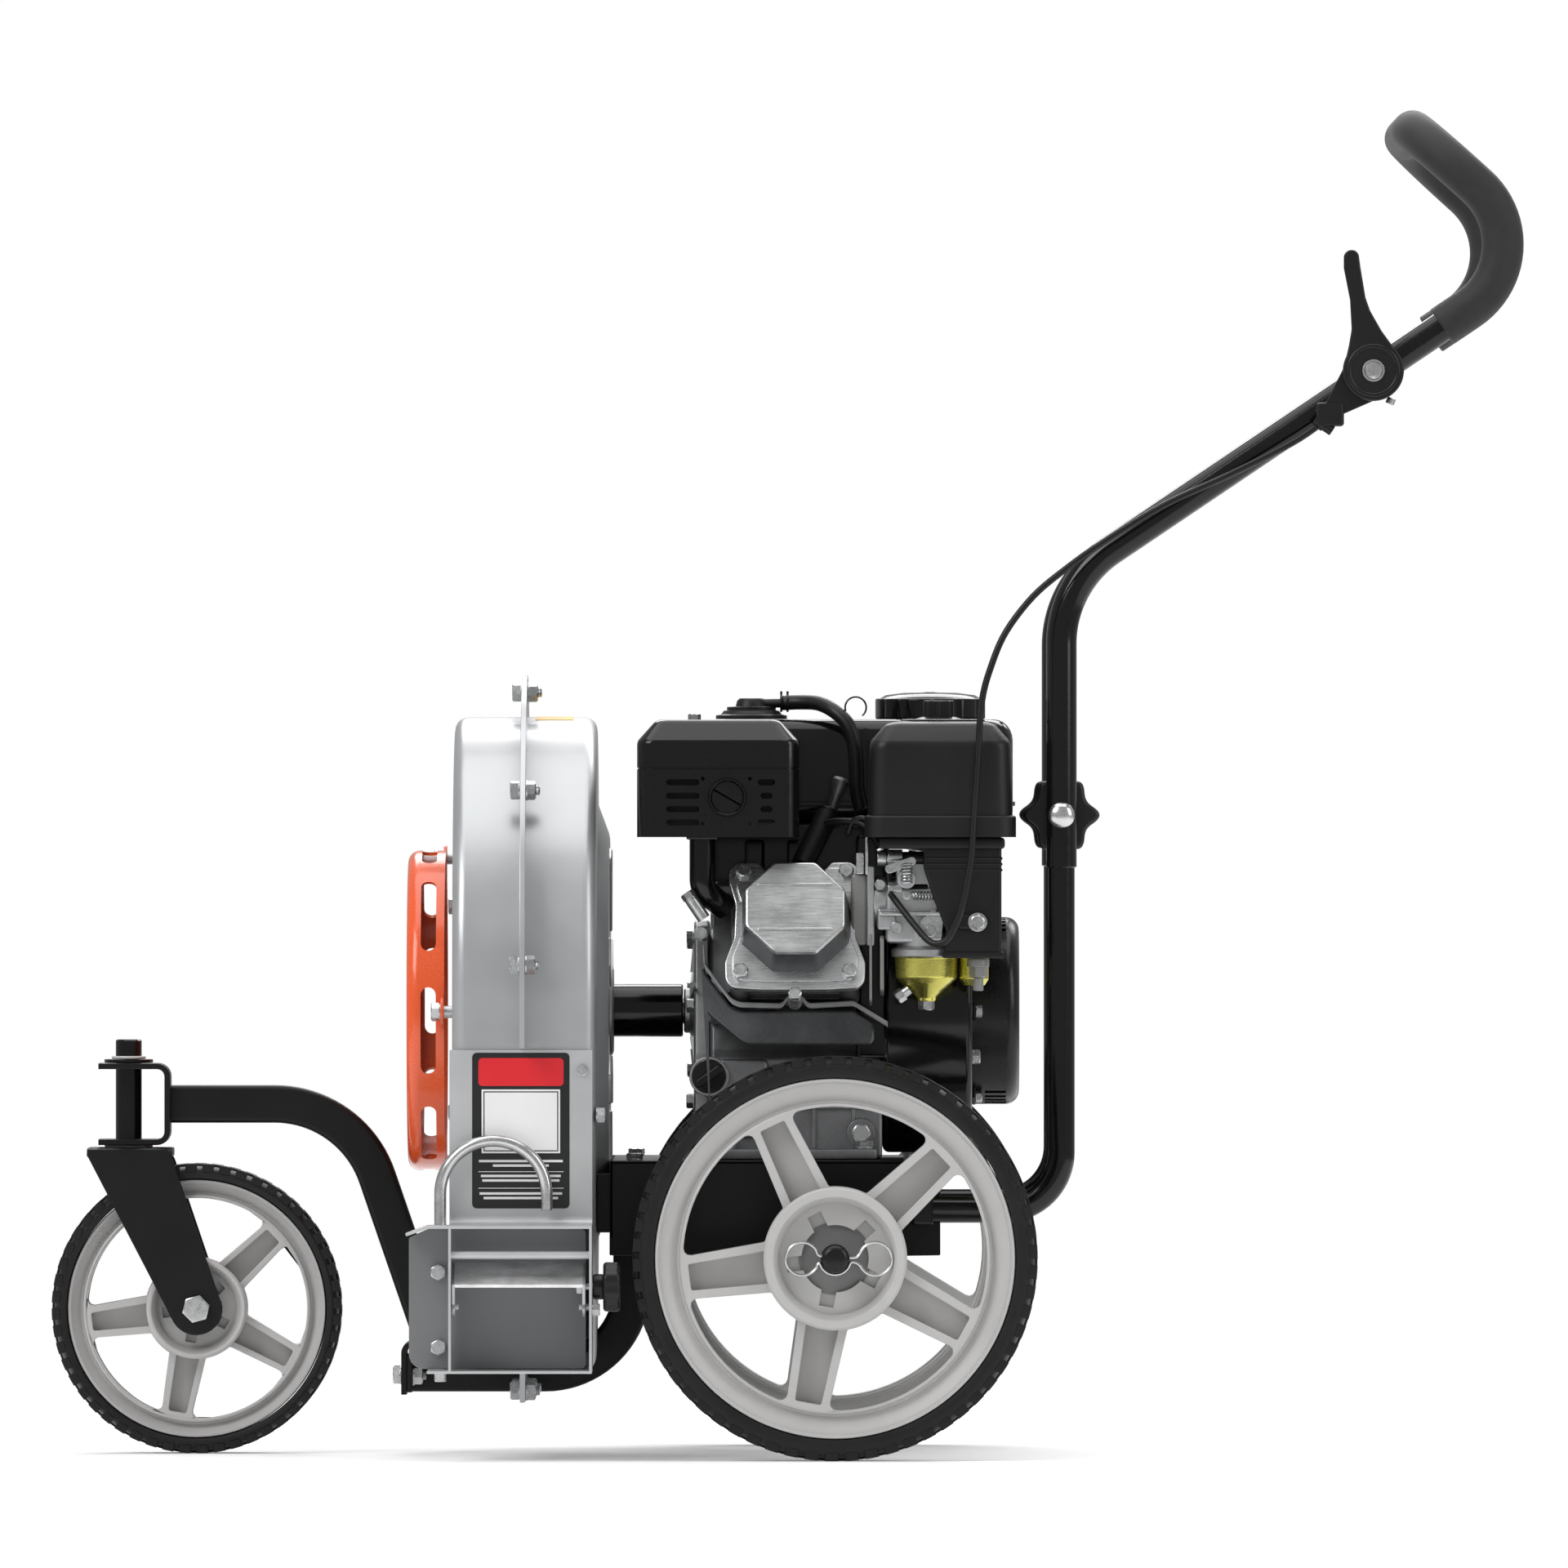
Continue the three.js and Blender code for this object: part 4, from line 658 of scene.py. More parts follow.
def wheels():
    for name, side in (("left", -1), ("right", 1)):
        wheel(f"rear_{name}", REAR, side, f"rear_wheel_{name}", (f"rear_rim_{name}", f"rear_tyre_{name}"))
        wheel_clip(name, side)
    wheel("front", FRONT, -1, "front_wheel", ("front_rim", "front_tyre"))
    axle = Shape()
    at = (REAR["x"], 0, REAR["z"])
    half = 279.8
    side = [(0, half), (6.5, half), (8.6, half - 0.8), (10, half - 2.4), (10, half - 12), (9.2, half - 12.6),
            (9.2, half - 14.4), (10, half - 15)]
    axle.lathe("Y", side + [(r, -y) for r, y in reversed(side)], at, 40)
    axle.make("axle_bar", black_paint, "chassis", "rear_axle")
    front_axle = Shape()
    at = (FRONT["x"], 0, FRONT["z"])
    front_axle.disc("Y", 6, -36, 36, at, 0.2)
    front_axle.hexhead("Y", at, 18.6, -36.3, -43.4, 15)
    front_axle.bolt("Y", at, 19, (36.3, 1), height=7.4, turn=14)
    front_axle.make("front_axle_bolt", plain_steel, "caster", "front_axle")
    spacer = Shape()
    for side in (-1, 1):
        spacer.disc("Y", 11, side * 29.8, side * 31.8, at, 0.4, bore=6.2)
    spacer.make("front_axle_washers", plain_steel, "caster")


# ---------------------------------------------------------------- caster and frame


def caster():
    fork = Shape()
    outline = [(-528.6, 231), (-467.8, 231), (-463.4, 222), (-427.5, 116)]
    outline += arc(-446, 110, 20, 18, -148, 14) + [(-528.6, 226)]
    for a, b in ((-36, -32), (32, 36)):
        fork.prism("Y", outline, a, b, 0.8)
    crown = rounded([(-35.9, 225, 0), (-35.9, 232, 5), (35.9, 232, 5), (35.9, 225, 0)], 5)
    fork.prism("X", crown, -529, -464, 1.2)
    fork.make("fork_plates", frame_black, "caster", "caster_fork")
    pin = Shape()
    at = (-498, 0, 0)
    profile = [(0, 232.3), (12, 232.3), (12, 233.7), (9.9, 233.9), (9.9, 303.6), (9.9, 313), (8.8, 314),
               (6, 314)]
    profile += [(5, 313.2), (0, 313.2)]
    pin.lathe("Z", profile, at, 48)
    pin.disc("Z", 18.6, 296.4, 299, at, 0.6, bore=9)
    pin.make("kingpin_tube", gloss_black, "caster", "kingpin")
    rings = Shape()
    rings.disc("Z", 18.4, 232.25, 233.75, at, 0.5, bore=9.8)
    rings.disc("Z", 13, 299.2, 301.4, at, 0.7, bore=9.8)
    rings.make("kingpin_washers", nylon, "caster")
    channel = Shape()
    outer = [(-520.5, 234), (-466, 234, 10), (-466, 296, 10), (-520.5, 296)]
    inner = [(-520.5, 291.6), (-470.4, 291.6, 5.6), (-470.4, 238.4, 5.6), (-520.5, 238.4)]
    channel.prism("Y", rounded(outer, 6) + rounded(inner, 5), -25, 25, 0.7)
    channel.make("swivel_channel", frame_black, "chassis", "caster_bracket")


def square_section(size, radius=4):
    half = size / 2
    return rect(-half, half, -half, half, radius, 3)


FRAME_TUBE = 28.5


def frame_bars():
    arm = Shape()
    route = bent([(-465.9, 0, 265), (-328.4, 0, 265, 82), (-264, 0, 78)], 20)
    arm.tube(route, square_section(FRAME_TUBE))
    plate = rounded([(-290.5, 45), (-286.3, 45), (-286.3, 80.7, 4), (-252, 80.7), (-252, 85),
                     (-290.5, 85, 8)], 5)
    arm.prism("Y", plate, -42, 42, 0.6)
    arm.make("arm_tube", frame_black, "chassis", "front_arm")
    beam = Shape()
    route = bent([(-283, 0, 61), (-115.7, 0, 61, 65.7), (-115.7, 0, 220.6)], 20)
    beam.tube(route, square_section(FRAME_TUBE))
    beam.box(-286, -282, -42, 42, 46.8, 75.3, 0.6)
    beam.make("beam_tube", frame_black, "chassis", "spine_beam")
    bolts = Shape()
    for y in (-27, 27):
        bolts.bolt("X", (0, y, 59.5), 12.5, -290.6, -281.9, stub=2.5, height=5)
    bolts.make("flange_bolts", plain_steel)


def deck():
    front, back, low, top, side_y, sheet = -131.8, 117.5, 152.8, 224, 160, 3
    plate = Shape()
    ear = arc(REAR["x"], REAR["z"], 24, 0, -180, 16)
    side_plate = rounded([(front, low, 1), (front, top, 2), (back, top, 2), (back, low, 1)], 3) + ear
    for a, b in ((-side_y, sheet - side_y), (side_y - sheet, side_y)):
        plate.prism("Y", side_plate, a, b, 0.5)
    plate.box(front, back, -side_y, side_y, top - sheet, top, 1)
    for a, b in ((-side_y, -16), (16, side_y)):
        plate.box(front, front + sheet, a, b, 165, top, 0.8)
    for a, b in ((-158, -125), (125, 158)):
        plate.box(-141.6, -131, a, b, 170, 214, 1)
    plate.make("deck_pressing", frame_black, "chassis", "engine_deck")
    bolts = Shape()
    for x in (-113, 96):
        for y in (-132, 132):
            bolts.bolt("Z", (x, y, 0), 11, (224.1, 1), height=4.4, turn=10)
    for y in (-92, 92):
        for x in (-44, 60):
            bolts.bolt("Z", (x, y, 0), 13, (232.4, 1), height=5.5, turn=8)
    bolts.make("deck_bolts", plain_steel)
    sleeve = Shape()
    for side in (-1, 1):
        sleeve.disc("Y", 15, side * 160.3, side * 204, (REAR["x"], 0, REAR["z"]), 0.8, bore=10.2)
    sleeve.make("axle_sleeves", frame_black)


# ---------------------------------------------------------------- handle and throttle

HANDLE_Y = 171
CLAMP_X, CLAMP_Z = 208.6, 484.5
HANDLE_RUN = [(208.6, 445), (208.6, 659, 85), (577.4, 907.6, 59), (474.3, 1001, 57)]


def handle_route(start, corners, steps):
    near = [(x, -HANDLE_Y, z, *bend) for x, z, *bend in [start, *corners]]
    far = [(x, HANDLE_Y, z, *bend) for x, z, *bend in reversed([start, *corners])]
    return bent(near + far, steps)


def star_radius(angle):
    """The six-armed clamping knob's radius: a wave whose flanks are drawn in a little."""
    wave = math.cos(6 * angle)
    return 25.6 + 3.4 * wave - 0.7 * (1 - wave * wave)


def handle():
    for name, side in (("left", -1), ("right", 1)):
        low = Shape()
        y = side * HANDLE_Y
        low.pipe(bent([(90, y, 187.6), (208.6, y, 187.6, 43), (208.6, y, 505)], 18), 10, 32, 0.1)
        low.box(96, 112, y - 11, y + 11, 176, 199.5, 2)
        low.make(f"lower_tube_{name}", gloss_black, "chassis", f"lower_handle_{name}")
        place = stood((CLAMP_X, y, CLAMP_Z), 180 if side > 0 else 0, "Z")
        bolt = Shape(place)
        quarter = [k / 12 * math.pi / 2 for k in range(1, 13)]
        dome = [(0, -17.9)] + [(9.9 * math.sin(a), -11.6 - 6.3 * math.cos(a)) for a in quarter]
        bolt.lathe("Y", dome + [(9.9, -11), (4, -11), (4, 33), (0, 33)], sides=40)
        bolt.make(f"clamp_bolt_{name}", bright_steel, "chassis", f"handle_bolt_{name}")
        knob = Shape(place)
        knob.prism("Y", lobed(0, 0, 96, star_radius), 16, 30, 3.2, [circle(0, 0, 4.5, 24)], 4)
        knob.disc("Y", 12, 11.9, 17, soft=0.8, bore=4.5)
        knob.disc("Y", 9, 29, 30.5, soft=0.5, bore=4.5)
        knob.make(f"star_knob_{name}", knob_plastic, f"knob_{name}", f"handle_knob_{name}")
    tube = Shape()
    tube.pipe(handle_route(HANDLE_RUN[0], HANDLE_RUN[1:], 22), 11.5, 36, 0.08)
    tube.make("upper_tube", gloss_black, "chassis", "upper_handle")
    foam = Shape()
    route = handle_route((495.2, 852.2), HANDLE_RUN[2:], 22)
    foam.pipe(route, 15.8, 40, 0.06)
    foam.make("foam_sleeve", grip_foam, "chassis", "handle_grip")


def throttle():
    x, z = 443, 819
    mount = Shape()
    outline = arc(x, z, 21, -62, 160, 24) + [(408, 796), (399, 789), (404, 779)]
    mount.prism("Y", rounded([(*p, 1.5) if i > 24 else p for i, p in enumerate(outline)], 3), -191, -182.9,
                0.9)
    mount.disc("Y", 4, -199, -190, (x, 0, z), 0.1)
    mount.box(400, 421, -192.6, -184, 777, 795, 2.4)
    mount.make("throttle_housing", black_plastic, "chassis", "throttle_mount")
    tip = stood((404, -188, 779), -56, "Y")
    ferrule = Shape(tip)
    ferrule.disc("Z", 3.9, -10, 6, soft=0.7, sides=24)
    ferrule.disc("Z", 4.8, -3, 1, soft=0.5, sides=24)
    ferrule.make("cable_ferrule", black_plastic)
    lever = Shape()
    outline = arc(x, z, 23, 152, 408, 44)
    outline += rounded([outline[-1], (449, 849, 10), (440.5, 864, 14), (437, 874, 8), (433.2, 897, 5)], 6,
                       False)[1:]
    outline += arc(426.5, 904, 5.8, 18, 178, 12)
    outline += rounded([outline[-1], (420.7, 896, 10), (425.4, 872, 12), (426.6, 850, 14), (424.6, 838, 8),
                        outline[0]], 5, False)[1:-1]
    lever.prism("Y", outline, -198, -191.3, 1.4, [circle(x, z, 4.5, 20)], 3)
    lever.lathe("Y", [(17, -197.6), (17, -198.6), (17.6, -199), (19.4, -199), (20, -198.6), (20, -197.6),
                      (17, -197.6)], (x, 0, z), 64)
    lever.make("lever_moulding", knob_plastic, "throttle", "throttle_lever")
    screw = Shape()
    screw.disc("Y", 8.4, -198.3, -199.1, (x, 0, z), 0.3, 40)
    crown = [(7, -199), (7, -199.7), (6.3, -200.7), (4.4, -201.2), (0, -201.35)]
    screw.lathe("Y", [(0, -198.5)] + crown, (x, 0, z), 40)
    cross = Shape()
    for w, h in ((4.4, 0.9), (0.9, 4.4)):
        cross.box(x - w, x + w, -202, -200.1, z - h, z + h, 0.1)
    screw.make("lever_screw", bright_steel, cuts=cross)
    small = Shape(stood((457, -186, 798), 24, "Y"))
    small.disc("Z", 3.4, -4.5, 0.5, soft=0.6, sides=24)
    small.make("mount_set_screw", plain_steel)


CABLE = [(403, -187.5, 778.5), (381, -189, 764), (334.5, -190, 740.5), (285, -190, 717.5), (238.5, -190, 689),
         (210.5, -191, 669), (187, -192, 649), (167, -194, 623), (156, -196, 598), (148.5, -197, 570),
         (145.5, -197, 527), (142.5, -197, 483), (140, -197, 450), (133, -197, 414), (124.5, -196, 393.5),
         (116, -194, 388), (108, -190, 390.5), (96.5, -182, 403.5), (84.5, -172, 419), (80, -164, 425)]


def throttle_cable():
    route = spline(CABLE, 5)
    sleeve = Shape()
    sleeve.pipe(route, 2.5, 14, 0.1)
    piece = sleeve.make("cable_sleeve", hose_rubber, "chassis", "throttle_cable")


# ---------------------------------------------------------------- fan housing

SCROLL = {"radius": 204, "growth": 18.5, "floor": 66.2}
FAN_FRONT, SPLIT, FAN_REAR, DISH = -250, -197, -142, -132.4


def scroll(inset, step=3):
    """The scroll's outline seen along X: it grows over the top, then runs flat to the duct."""
    points = []
    turn = 0
    while turn <= 270:
        reach = SCROLL["radius"] + SCROLL["growth"] * turn / 90 - inset
        a = math.radians(turn)
        points.append((-reach * math.cos(a), SHAFT_Z + reach * math.sin(a)))
        turn += step
    low = points[-1][1]
    floor = SCROLL["floor"] + inset
    points += [(-30, low * 0.6 + floor * 0.4), (-52, low * 0.2 + floor * 0.8), (-75, floor)]
    points += [(-75 - 32.25 * k, floor) for k in range(1, 4)]
    edge = inset - SCROLL["radius"]
    points += [(edge, floor)] + [(edge, floor + (SHAFT_Z - floor) * k / 6) for k in range(1, 6)]
    return points


def loft(shape, rows, capped=False):
    """Rows of points with the same count, joined into a skin, open or closed at both ends."""
    verts = [p for row in rows for p in row]
    count = len(rows[0])
    faces = [list(range(count)), list(range(len(verts) - count, len(verts)))] if capped else []
    for r in range(len(rows) - 1):
        for k in range(count):
            n = (k + 1) % count
            faces.append([r * count + k, r * count + n, (r + 1) * count + n, (r + 1) * count + k])
    shape.put(verts, faces)


def at_x(points, x):
    return [(x, y, z) for y, z in points]


def on_circle(points, radius, centre_z, x):
    """The points moved onto a circle about the shaft, each kept at its own angle."""
    row = []
    for y, z in points:
        a = math.atan2(z - centre_z, y)
        row.append((x, radius * math.cos(a), centre_z + radius * math.sin(a)))
    return row


def thickened(shape, name, thickness, cuts):
    """The open skin given its sheet thickness, then cut."""
    piece = bpy.data.objects.new(name, shape.mesh(name))
    bpy.context.scene.collection.objects.link(piece)
    wall = piece.modifiers.new("sheet", "SOLIDIFY")
    wall.thickness, wall.offset = thickness * MM, -1
    bpy.context.view_layer.update()
    solid = bpy.data.meshes.new_from_object(piece.evaluated_get(bpy.context.evaluated_depsgraph_get()))
    piece.modifiers.clear()
    piece.data = solid
    if cuts:
        carve(piece, cuts)
    return piece


def port_cuts():
    cuts = Shape()
    cuts.box(-248, -144, -212, -190, 68.2, 177.8, 0.1)
    cuts.box(-253, -240, -209, -105, 67, 177.8, 0.1)
    cuts.box(-178, -130, -16, 16, 40, 97, 0.1)
    return cuts


def edge_rows(edge_x, side, radius, steps=5):
    """Rows that turn the drum's edge over onto its end face."""
    rows = []
    for k in range(steps + 1):
        a = math.pi / 2 * k / steps
        inset = radius * (1 - math.cos(a))
        rows.append(at_x(scroll(inset), edge_x - side * radius * (1 - math.sin(a))))
    return rows


def housing():
    base = scroll(0)
    front = Shape()
    rows = [at_x(base, SPLIT - 0.15)] + edge_rows(FAN_FRONT, -1, 10)
    flat = scroll(10)
    rows += [on_circle(flat, 99, SHAFT_Z, FAN_FRONT), on_circle(flat, 96, SHAFT_Z, FAN_FRONT + 1.2)]
    rows += [on_circle(flat, 95, SHAFT_Z, FAN_FRONT + 4)]
    loft(front, rows)
    dressed(thickened(front, "fan_drum_front", 2, port_cuts()), housing_gray, "chassis",
            "housing_front_shell")
    back = Shape()
    rows = [at_x(base, SPLIT + 0.15)] + edge_rows(FAN_REAR, 1, 10)
    dish_z = SHAFT_Z - 8
    rows += [on_circle(flat, 167, dish_z, FAN_REAR), on_circle(flat, 164, dish_z, FAN_REAR + 1)]
    rows += [on_circle(flat, 143, dish_z, DISH - 0.8), on_circle(flat, 139, dish_z, DISH)]
    rows += [on_circle(flat, 60, SHAFT_Z, DISH), on_circle(flat, 22, SHAFT_Z, DISH)]
    loft(back, rows)
    dressed(thickened(back, "fan_drum_rear", 2, port_cuts()), housing_gray, "chassis",
            "housing_rear_shell")
    ribs = Shape()
    for turn in range(0, 360, 45):
        ribs.place = about("X", turn + 22, (0, 0, dish_z))
        outline = rounded([(-13, dish_z + 138, 4), (13, dish_z + 138, 4), (3.5, dish_z + 74, 3),
                           (-3.5, dish_z + 74, 3)], 4)
        ribs.prism("X", outline, DISH - 2, DISH + 1.6, 1.3, steps=2)
    ribs.make("rear_stiffeners", housing_gray)
    clearance = Shape()
    clearance.box(-210, -185, -19, 19, 0, 100, 0.1)
    clearance.box(-210, -185, -300, -204.4, 0, 309.5, 0.1)
    clearance.box(-210, -185, -310, 310, 0, 42.8, 0.1)
    flange = Shape()
    flange.prism("X", scroll(-32), SPLIT - 2, SPLIT + 2, 0.5, [scroll(0.6)])
    flange.make("split_flange", housing_gray, cuts=clearance)
    bolts = Shape()
    spots = []
    for turn in (9.2, 46, 90, 134, 178, 222, 252):
        reach = SCROLL["radius"] + SCROLL["growth"] * turn / 90 + 19
        spots.append((-reach * math.cos(math.radians(turn)), SHAFT_Z + reach * math.sin(math.radians(turn))))
    spots += [(-62, 51), (-165, 51)]
    for y, z in spots:
        bolts.bolt("X", (0, y, z), 12.6, SPLIT - 2.1, SPLIT + 2.1, turn=12, stub=3)
    bolts.bolt("X", (0, -196, 259), 11, (FAN_REAR + 0.4, 1), height=6)
    bolts.make("drum_bolts", plain_steel)
    bracket = Shape()
    for side in (-1, 1):
        a, b = sorted((side * 118, side * 124.6))
        bracket.box(-141.4, -129, a, b, 172, 212, 1)
    bracket.make("drum_brackets", dark_casting_and_painted_shade, slot="black_paint")
    seal = Shape()
    seal.lathe("X", [(22.4, DISH - 1), (34, DISH - 1), (34, DISH + 1.6), (31, DISH + 3), (22.4, DISH + 3),
                     (22.4, DISH - 1)],
               SHAFT, 48)
    seal.make("shaft_collar", sheet_gray)
    top = Shape()
    reach = SCROLL["radius"] + SCROLL["growth"] + 0.05
    for k in range(8):
        foot = []
        for turn in (84.6 + 1.5 * k, 84.6 + 1.5 * (k + 1)):
            radius, a = reach + (turn - 90) * 0.2055, math.radians(turn)
            foot.append((-radius * math.cos(a), SHAFT_Z + radius * math.sin(a)))
        top.prism("X", foot + [(y, z + 0.35) for y, z in reversed(foot)], -189, -160, 0)
    top.make("top_sticker", label_yellow)


def rotor():
    fan = Shape(Matrix.Translation(SHAFT))
    fan.disc("X", 158, -160, -156, soft=0.8, sides=96, bore=10.8)
    fan.disc("X", 24, -215, -156, soft=2, bore=10.8)
    fan.disc("X", 15, -219, -215, soft=1)
    for k in range(8):
        fan.place = stood(SHAFT, 45 * k, "X")
        blade = rounded([(-157, 20), (-157, 155, 3), (-237, 155, 6), (-237, 66, 12), (-214, 40, 10),
                         (-214, 20)], 5)
        fan.prism("Y", blade, -1.5, 1.5, 0.6)
        fan.prism("X", [(1.2, 22), (14, 22), (14, 150), (1.2, 150)], -162.5, -160, 0.5)
    fan.make("fan_wheel", sheet_gray, "rotor", "impeller", slot="plain_steel")
    at = SHAFT
    sleeve = Shape()
    sleeve.lathe("X", [(10.8, -155.7), (19.2, -155.7), (20, -154.8), (20, -78.2), (19.2, -77), (16, -77),
                       (15, -78), (10.8, -78),
                       (10.8, -155.7)], at, 56)
    sleeve.make("drive_sleeve", gloss_black, "rotor", "fan_sleeve")
    shaft = Shape()
    shaft.disc("X", 10, -216, 128, at, 1)
    shaft.make("crank_bar", plain_steel, "rotor", "crankshaft")
    wheel_rows = [(10.8, 88), (30, 88), (30, 96), (61, 96), (62, 97), (62, 117), (61, 118), (10.8, 118),
                  (10.8, 88)]
    fly = Shape()
    fly.lathe("X", wheel_rows, at, 64)
    for k in range(20):
        fly.place = about("X", 18 * k, at)
        fly.prism("Y", [(117, SHAFT_Z + 30), (117, SHAFT_Z + 56), (122, SHAFT_Z + 54), (122, SHAFT_Z + 34)],
                  -1, 1, 0.3)
    fly.make("flywheel_fins", cast_aluminium, "rotor", "flywheel")


def inlet_guard():
    at = SHAFT
    nose, edge, radius, wall = -285.5, -257, 121.5, 2.5
    outer = [(0, nose)] + rounded([(60, nose), (radius, nose, 9), (radius, edge)], 7, False)
    inside, under = radius - wall, nose + wall
    inner = [(0, under)] + rounded([(60, under), (inside, under, 6.5), (inside, edge)], 7, False)
    shell = Shape()
    shell.lathe("X", outer + inner[::-1], at, 144)
    cuts = Shape()
    for k in range(8):
        cuts.place = about("X", 7 + 45 * k - 90, at)
        cuts.prism("Z", [(x, y) for y, x in slot(0, -269, 66, 11.5, 8)], SHAFT_Z + 100, SHAFT_Z + 130, 0.05)
    cuts.place = Matrix.Identity(4)
    for quarter in (0, 90, 180, 270):
        for low, high in ((45, 56), (62, 75), (81, 95)):
            outline = sector(0, SHAFT_Z, low, high, quarter - 38, quarter + 38, 14)
            cuts.prism("X", outline, nose - 3, nose + 6, 0.05)
    shell.make("guard_shell", guard_orange, "chassis", "inlet_guard", cuts=cuts, crease=math.radians(38))
    tabs = Shape()
    bolts = Shape()
    for turn in (90, 210, 330):
        tabs.place = bolts.place = about("X", turn, at)
        outline = [(-13, 119), (13, 119), (11.5, 133)] + arc(0, 132, 11, 5, 175, 12) + [(-11.5, 133)]
        tabs.prism("X", [(u, SHAFT_Z + v) for u, v in outline], edge - wall, edge, 0.6)
        bolts.bolt("X", (0, 0, SHAFT_Z + 133), 12.4, (edge - wall - 0.1, -1), height=5.8, turn=9)
        bolts.disc("X", 4.6, edge, FAN_FRONT - 0.3, (0, 0, SHAFT_Z + 133), 0.1, 24)
    tabs.make("guard_tabs", guard_orange)
    for turn in (232, 308):
        bolts.place = about("X", turn, at)
        bolts.bolt("X", (0, 0, SHAFT_Z + 128), 11.5, (FAN_FRONT - 0.2, -1), height=5.4, turn=4)
    bolts.make("guard_bolts", plain_steel)


# ---------------------------------------------------------------- discharge chute

HINGE_X, HINGE_Y = -258.5, -218
VANE_Y, VANE_Z = -255, 116


def chute():
    left, right, low, high, mouth, wall = -251.8, -144.3, 66.2, 176.8, -278, -204
    back = wall - 0.3
    sheets = Shape()
    strip = [(back, 308), (back - 2.4, 308), (back - 2.4, high, 7), (mouth, high), (mouth, high - 2),
             (back, high - 2, 1)]
    sheets.prism("X", rounded(strip, 6), left, right, 0.45)
    lip = [(-268, high), (-284, 171), (-283.2, 169.2), (-267.4, high - 2), (left + 1, high - 2),
           (left + 1, high)]
    sheets.prism("Y", lip, mouth, back - 8, 0.4)
    sheets.box(-268, right, mouth, back, low, low + 2, 0.4)
    sheets.box(left, left + 2, mouth, -230, low, high, 0.4)
    sheets.box(right - 2, right, mouth, back, low, high, 0.4)
    sheets.disc("X", 3, left + 1, right - 1, (0, -270, 155), 0.2, 24)
    for a, b in ((left + 1, -244.3), (-154.1, right - 1)):
        sheets.disc("X", 3, a, b, (0, VANE_Y, VANE_Z), 0.2, 24)
    cuts = Shape()
    cuts.disc("Z", 5, 55, 182, (HINGE_X, HINGE_Y, 0), 0.1, 32)
    cuts.prism("X", sector(VANE_Y, VANE_Z, 11.2, 18.8, 62, 134, 8), right - 4, right + 2, 0.05)
    sheets.make("chute_sheets", sheet_gray, "chassis", "discharge_chute", cuts=cuts)
    fasteners = Shape()
    fasteners.bolt("X", (0, -262, 114), 9, (right + 0.1, 1), height=5)
    fasteners.bolt("Y", (-152, 0, 293), 8, (back - 2.5, -1), height=2)
    fasteners.make("chute_screws", plain_steel)
    face = back - 2.4
    panel = Shape()
    panel.prism("Y", rect(-234.7, -161.5, 189, 306, 3.5, 5), face - 0.35, face - 0.02, 0.1)
    panel.make("label_panel", label_black)
    band = Shape()
    band.prism("Y", rect(-230, -166, 281, 302, 3, 5), face - 0.5, face - 0.3, 0.05)
    band.make("label_band", label_red)
    pale = Shape()
    pale.prism("Y", rect(-227.6, -168.6, 230.5, 278.4), face - 0.5, face - 0.3, 0.05)
    for z, width in ((224.6, 63), (221.2, 42), (213.4, 60), (210, 58), (200.2, 62), (196.8, 56)):
        pale.prism("Y", rect(-198.1 - width / 2, -198.1 + width / 2, z - 0.9, z + 0.9), face - 0.45,
                   face - 0.3, 0.05)
    for z in (216.6, 204.2):
        pale.prism("Y", rect(-230, -166, z - 0.25, z + 0.25), face - 0.45, face - 0.3, 0.05)
    pale.make("label_print", label_white)
    frame_line = Shape()
    outline = rect(-226.2, -170, 231.9, 277)
    frame_line.prism("Y", outline, face - 0.6, face - 0.45, 0.03, [rect(-225.4, -170.8, 232.7, 276.2)])
    frame_line.make("label_frame", label_black)


def diverter():
    nose, tail, low, high, near, far = -282, -149, 68.8, 174.2, -224.7, -222.7
    plate = Shape()
    outline = rounded([(nose, low, 11), (tail, low, 4), (tail, high, 4), (-267, high, 1),
                       (nose, high - 6.7, 2)], 6)
    plate.prism("Y", outline, near, far, 0.5)
    plate.disc("Z", 6.4, low + 4, high - 4, (HINGE_X, HINGE_Y, 0), 0.6, 36, bore=5)
    # The flap plate wears the darker grey: painted shade inside the duct.
    plate.make("diverter_plate", flap_painted_shade, "diverter", "diverter_flap")
    heads = Shape()
    for z in (141.4, 84.9):
        heads.hexhead("Y", (-260, 0, z), 10.8, near - 0.05, near - 5, 30)
    heads.make("diverter_bolts", plain_steel, "diverter")
    rod = Shape()
    x, y, bend = HINGE_X, HINGE_Y, 40
    route = bent([(x, y, 58.9), (x, y, 240, bend - 0.1), (x + 2 * bend, y, 240, bend - 0.1),
                  (x + 2 * bend, y, 187.3)], 28)
    rod.pipe(route, 4.5, 24, 0.2)
    rod.make("loop_rod", bright_steel, "loop", "loop_pin")


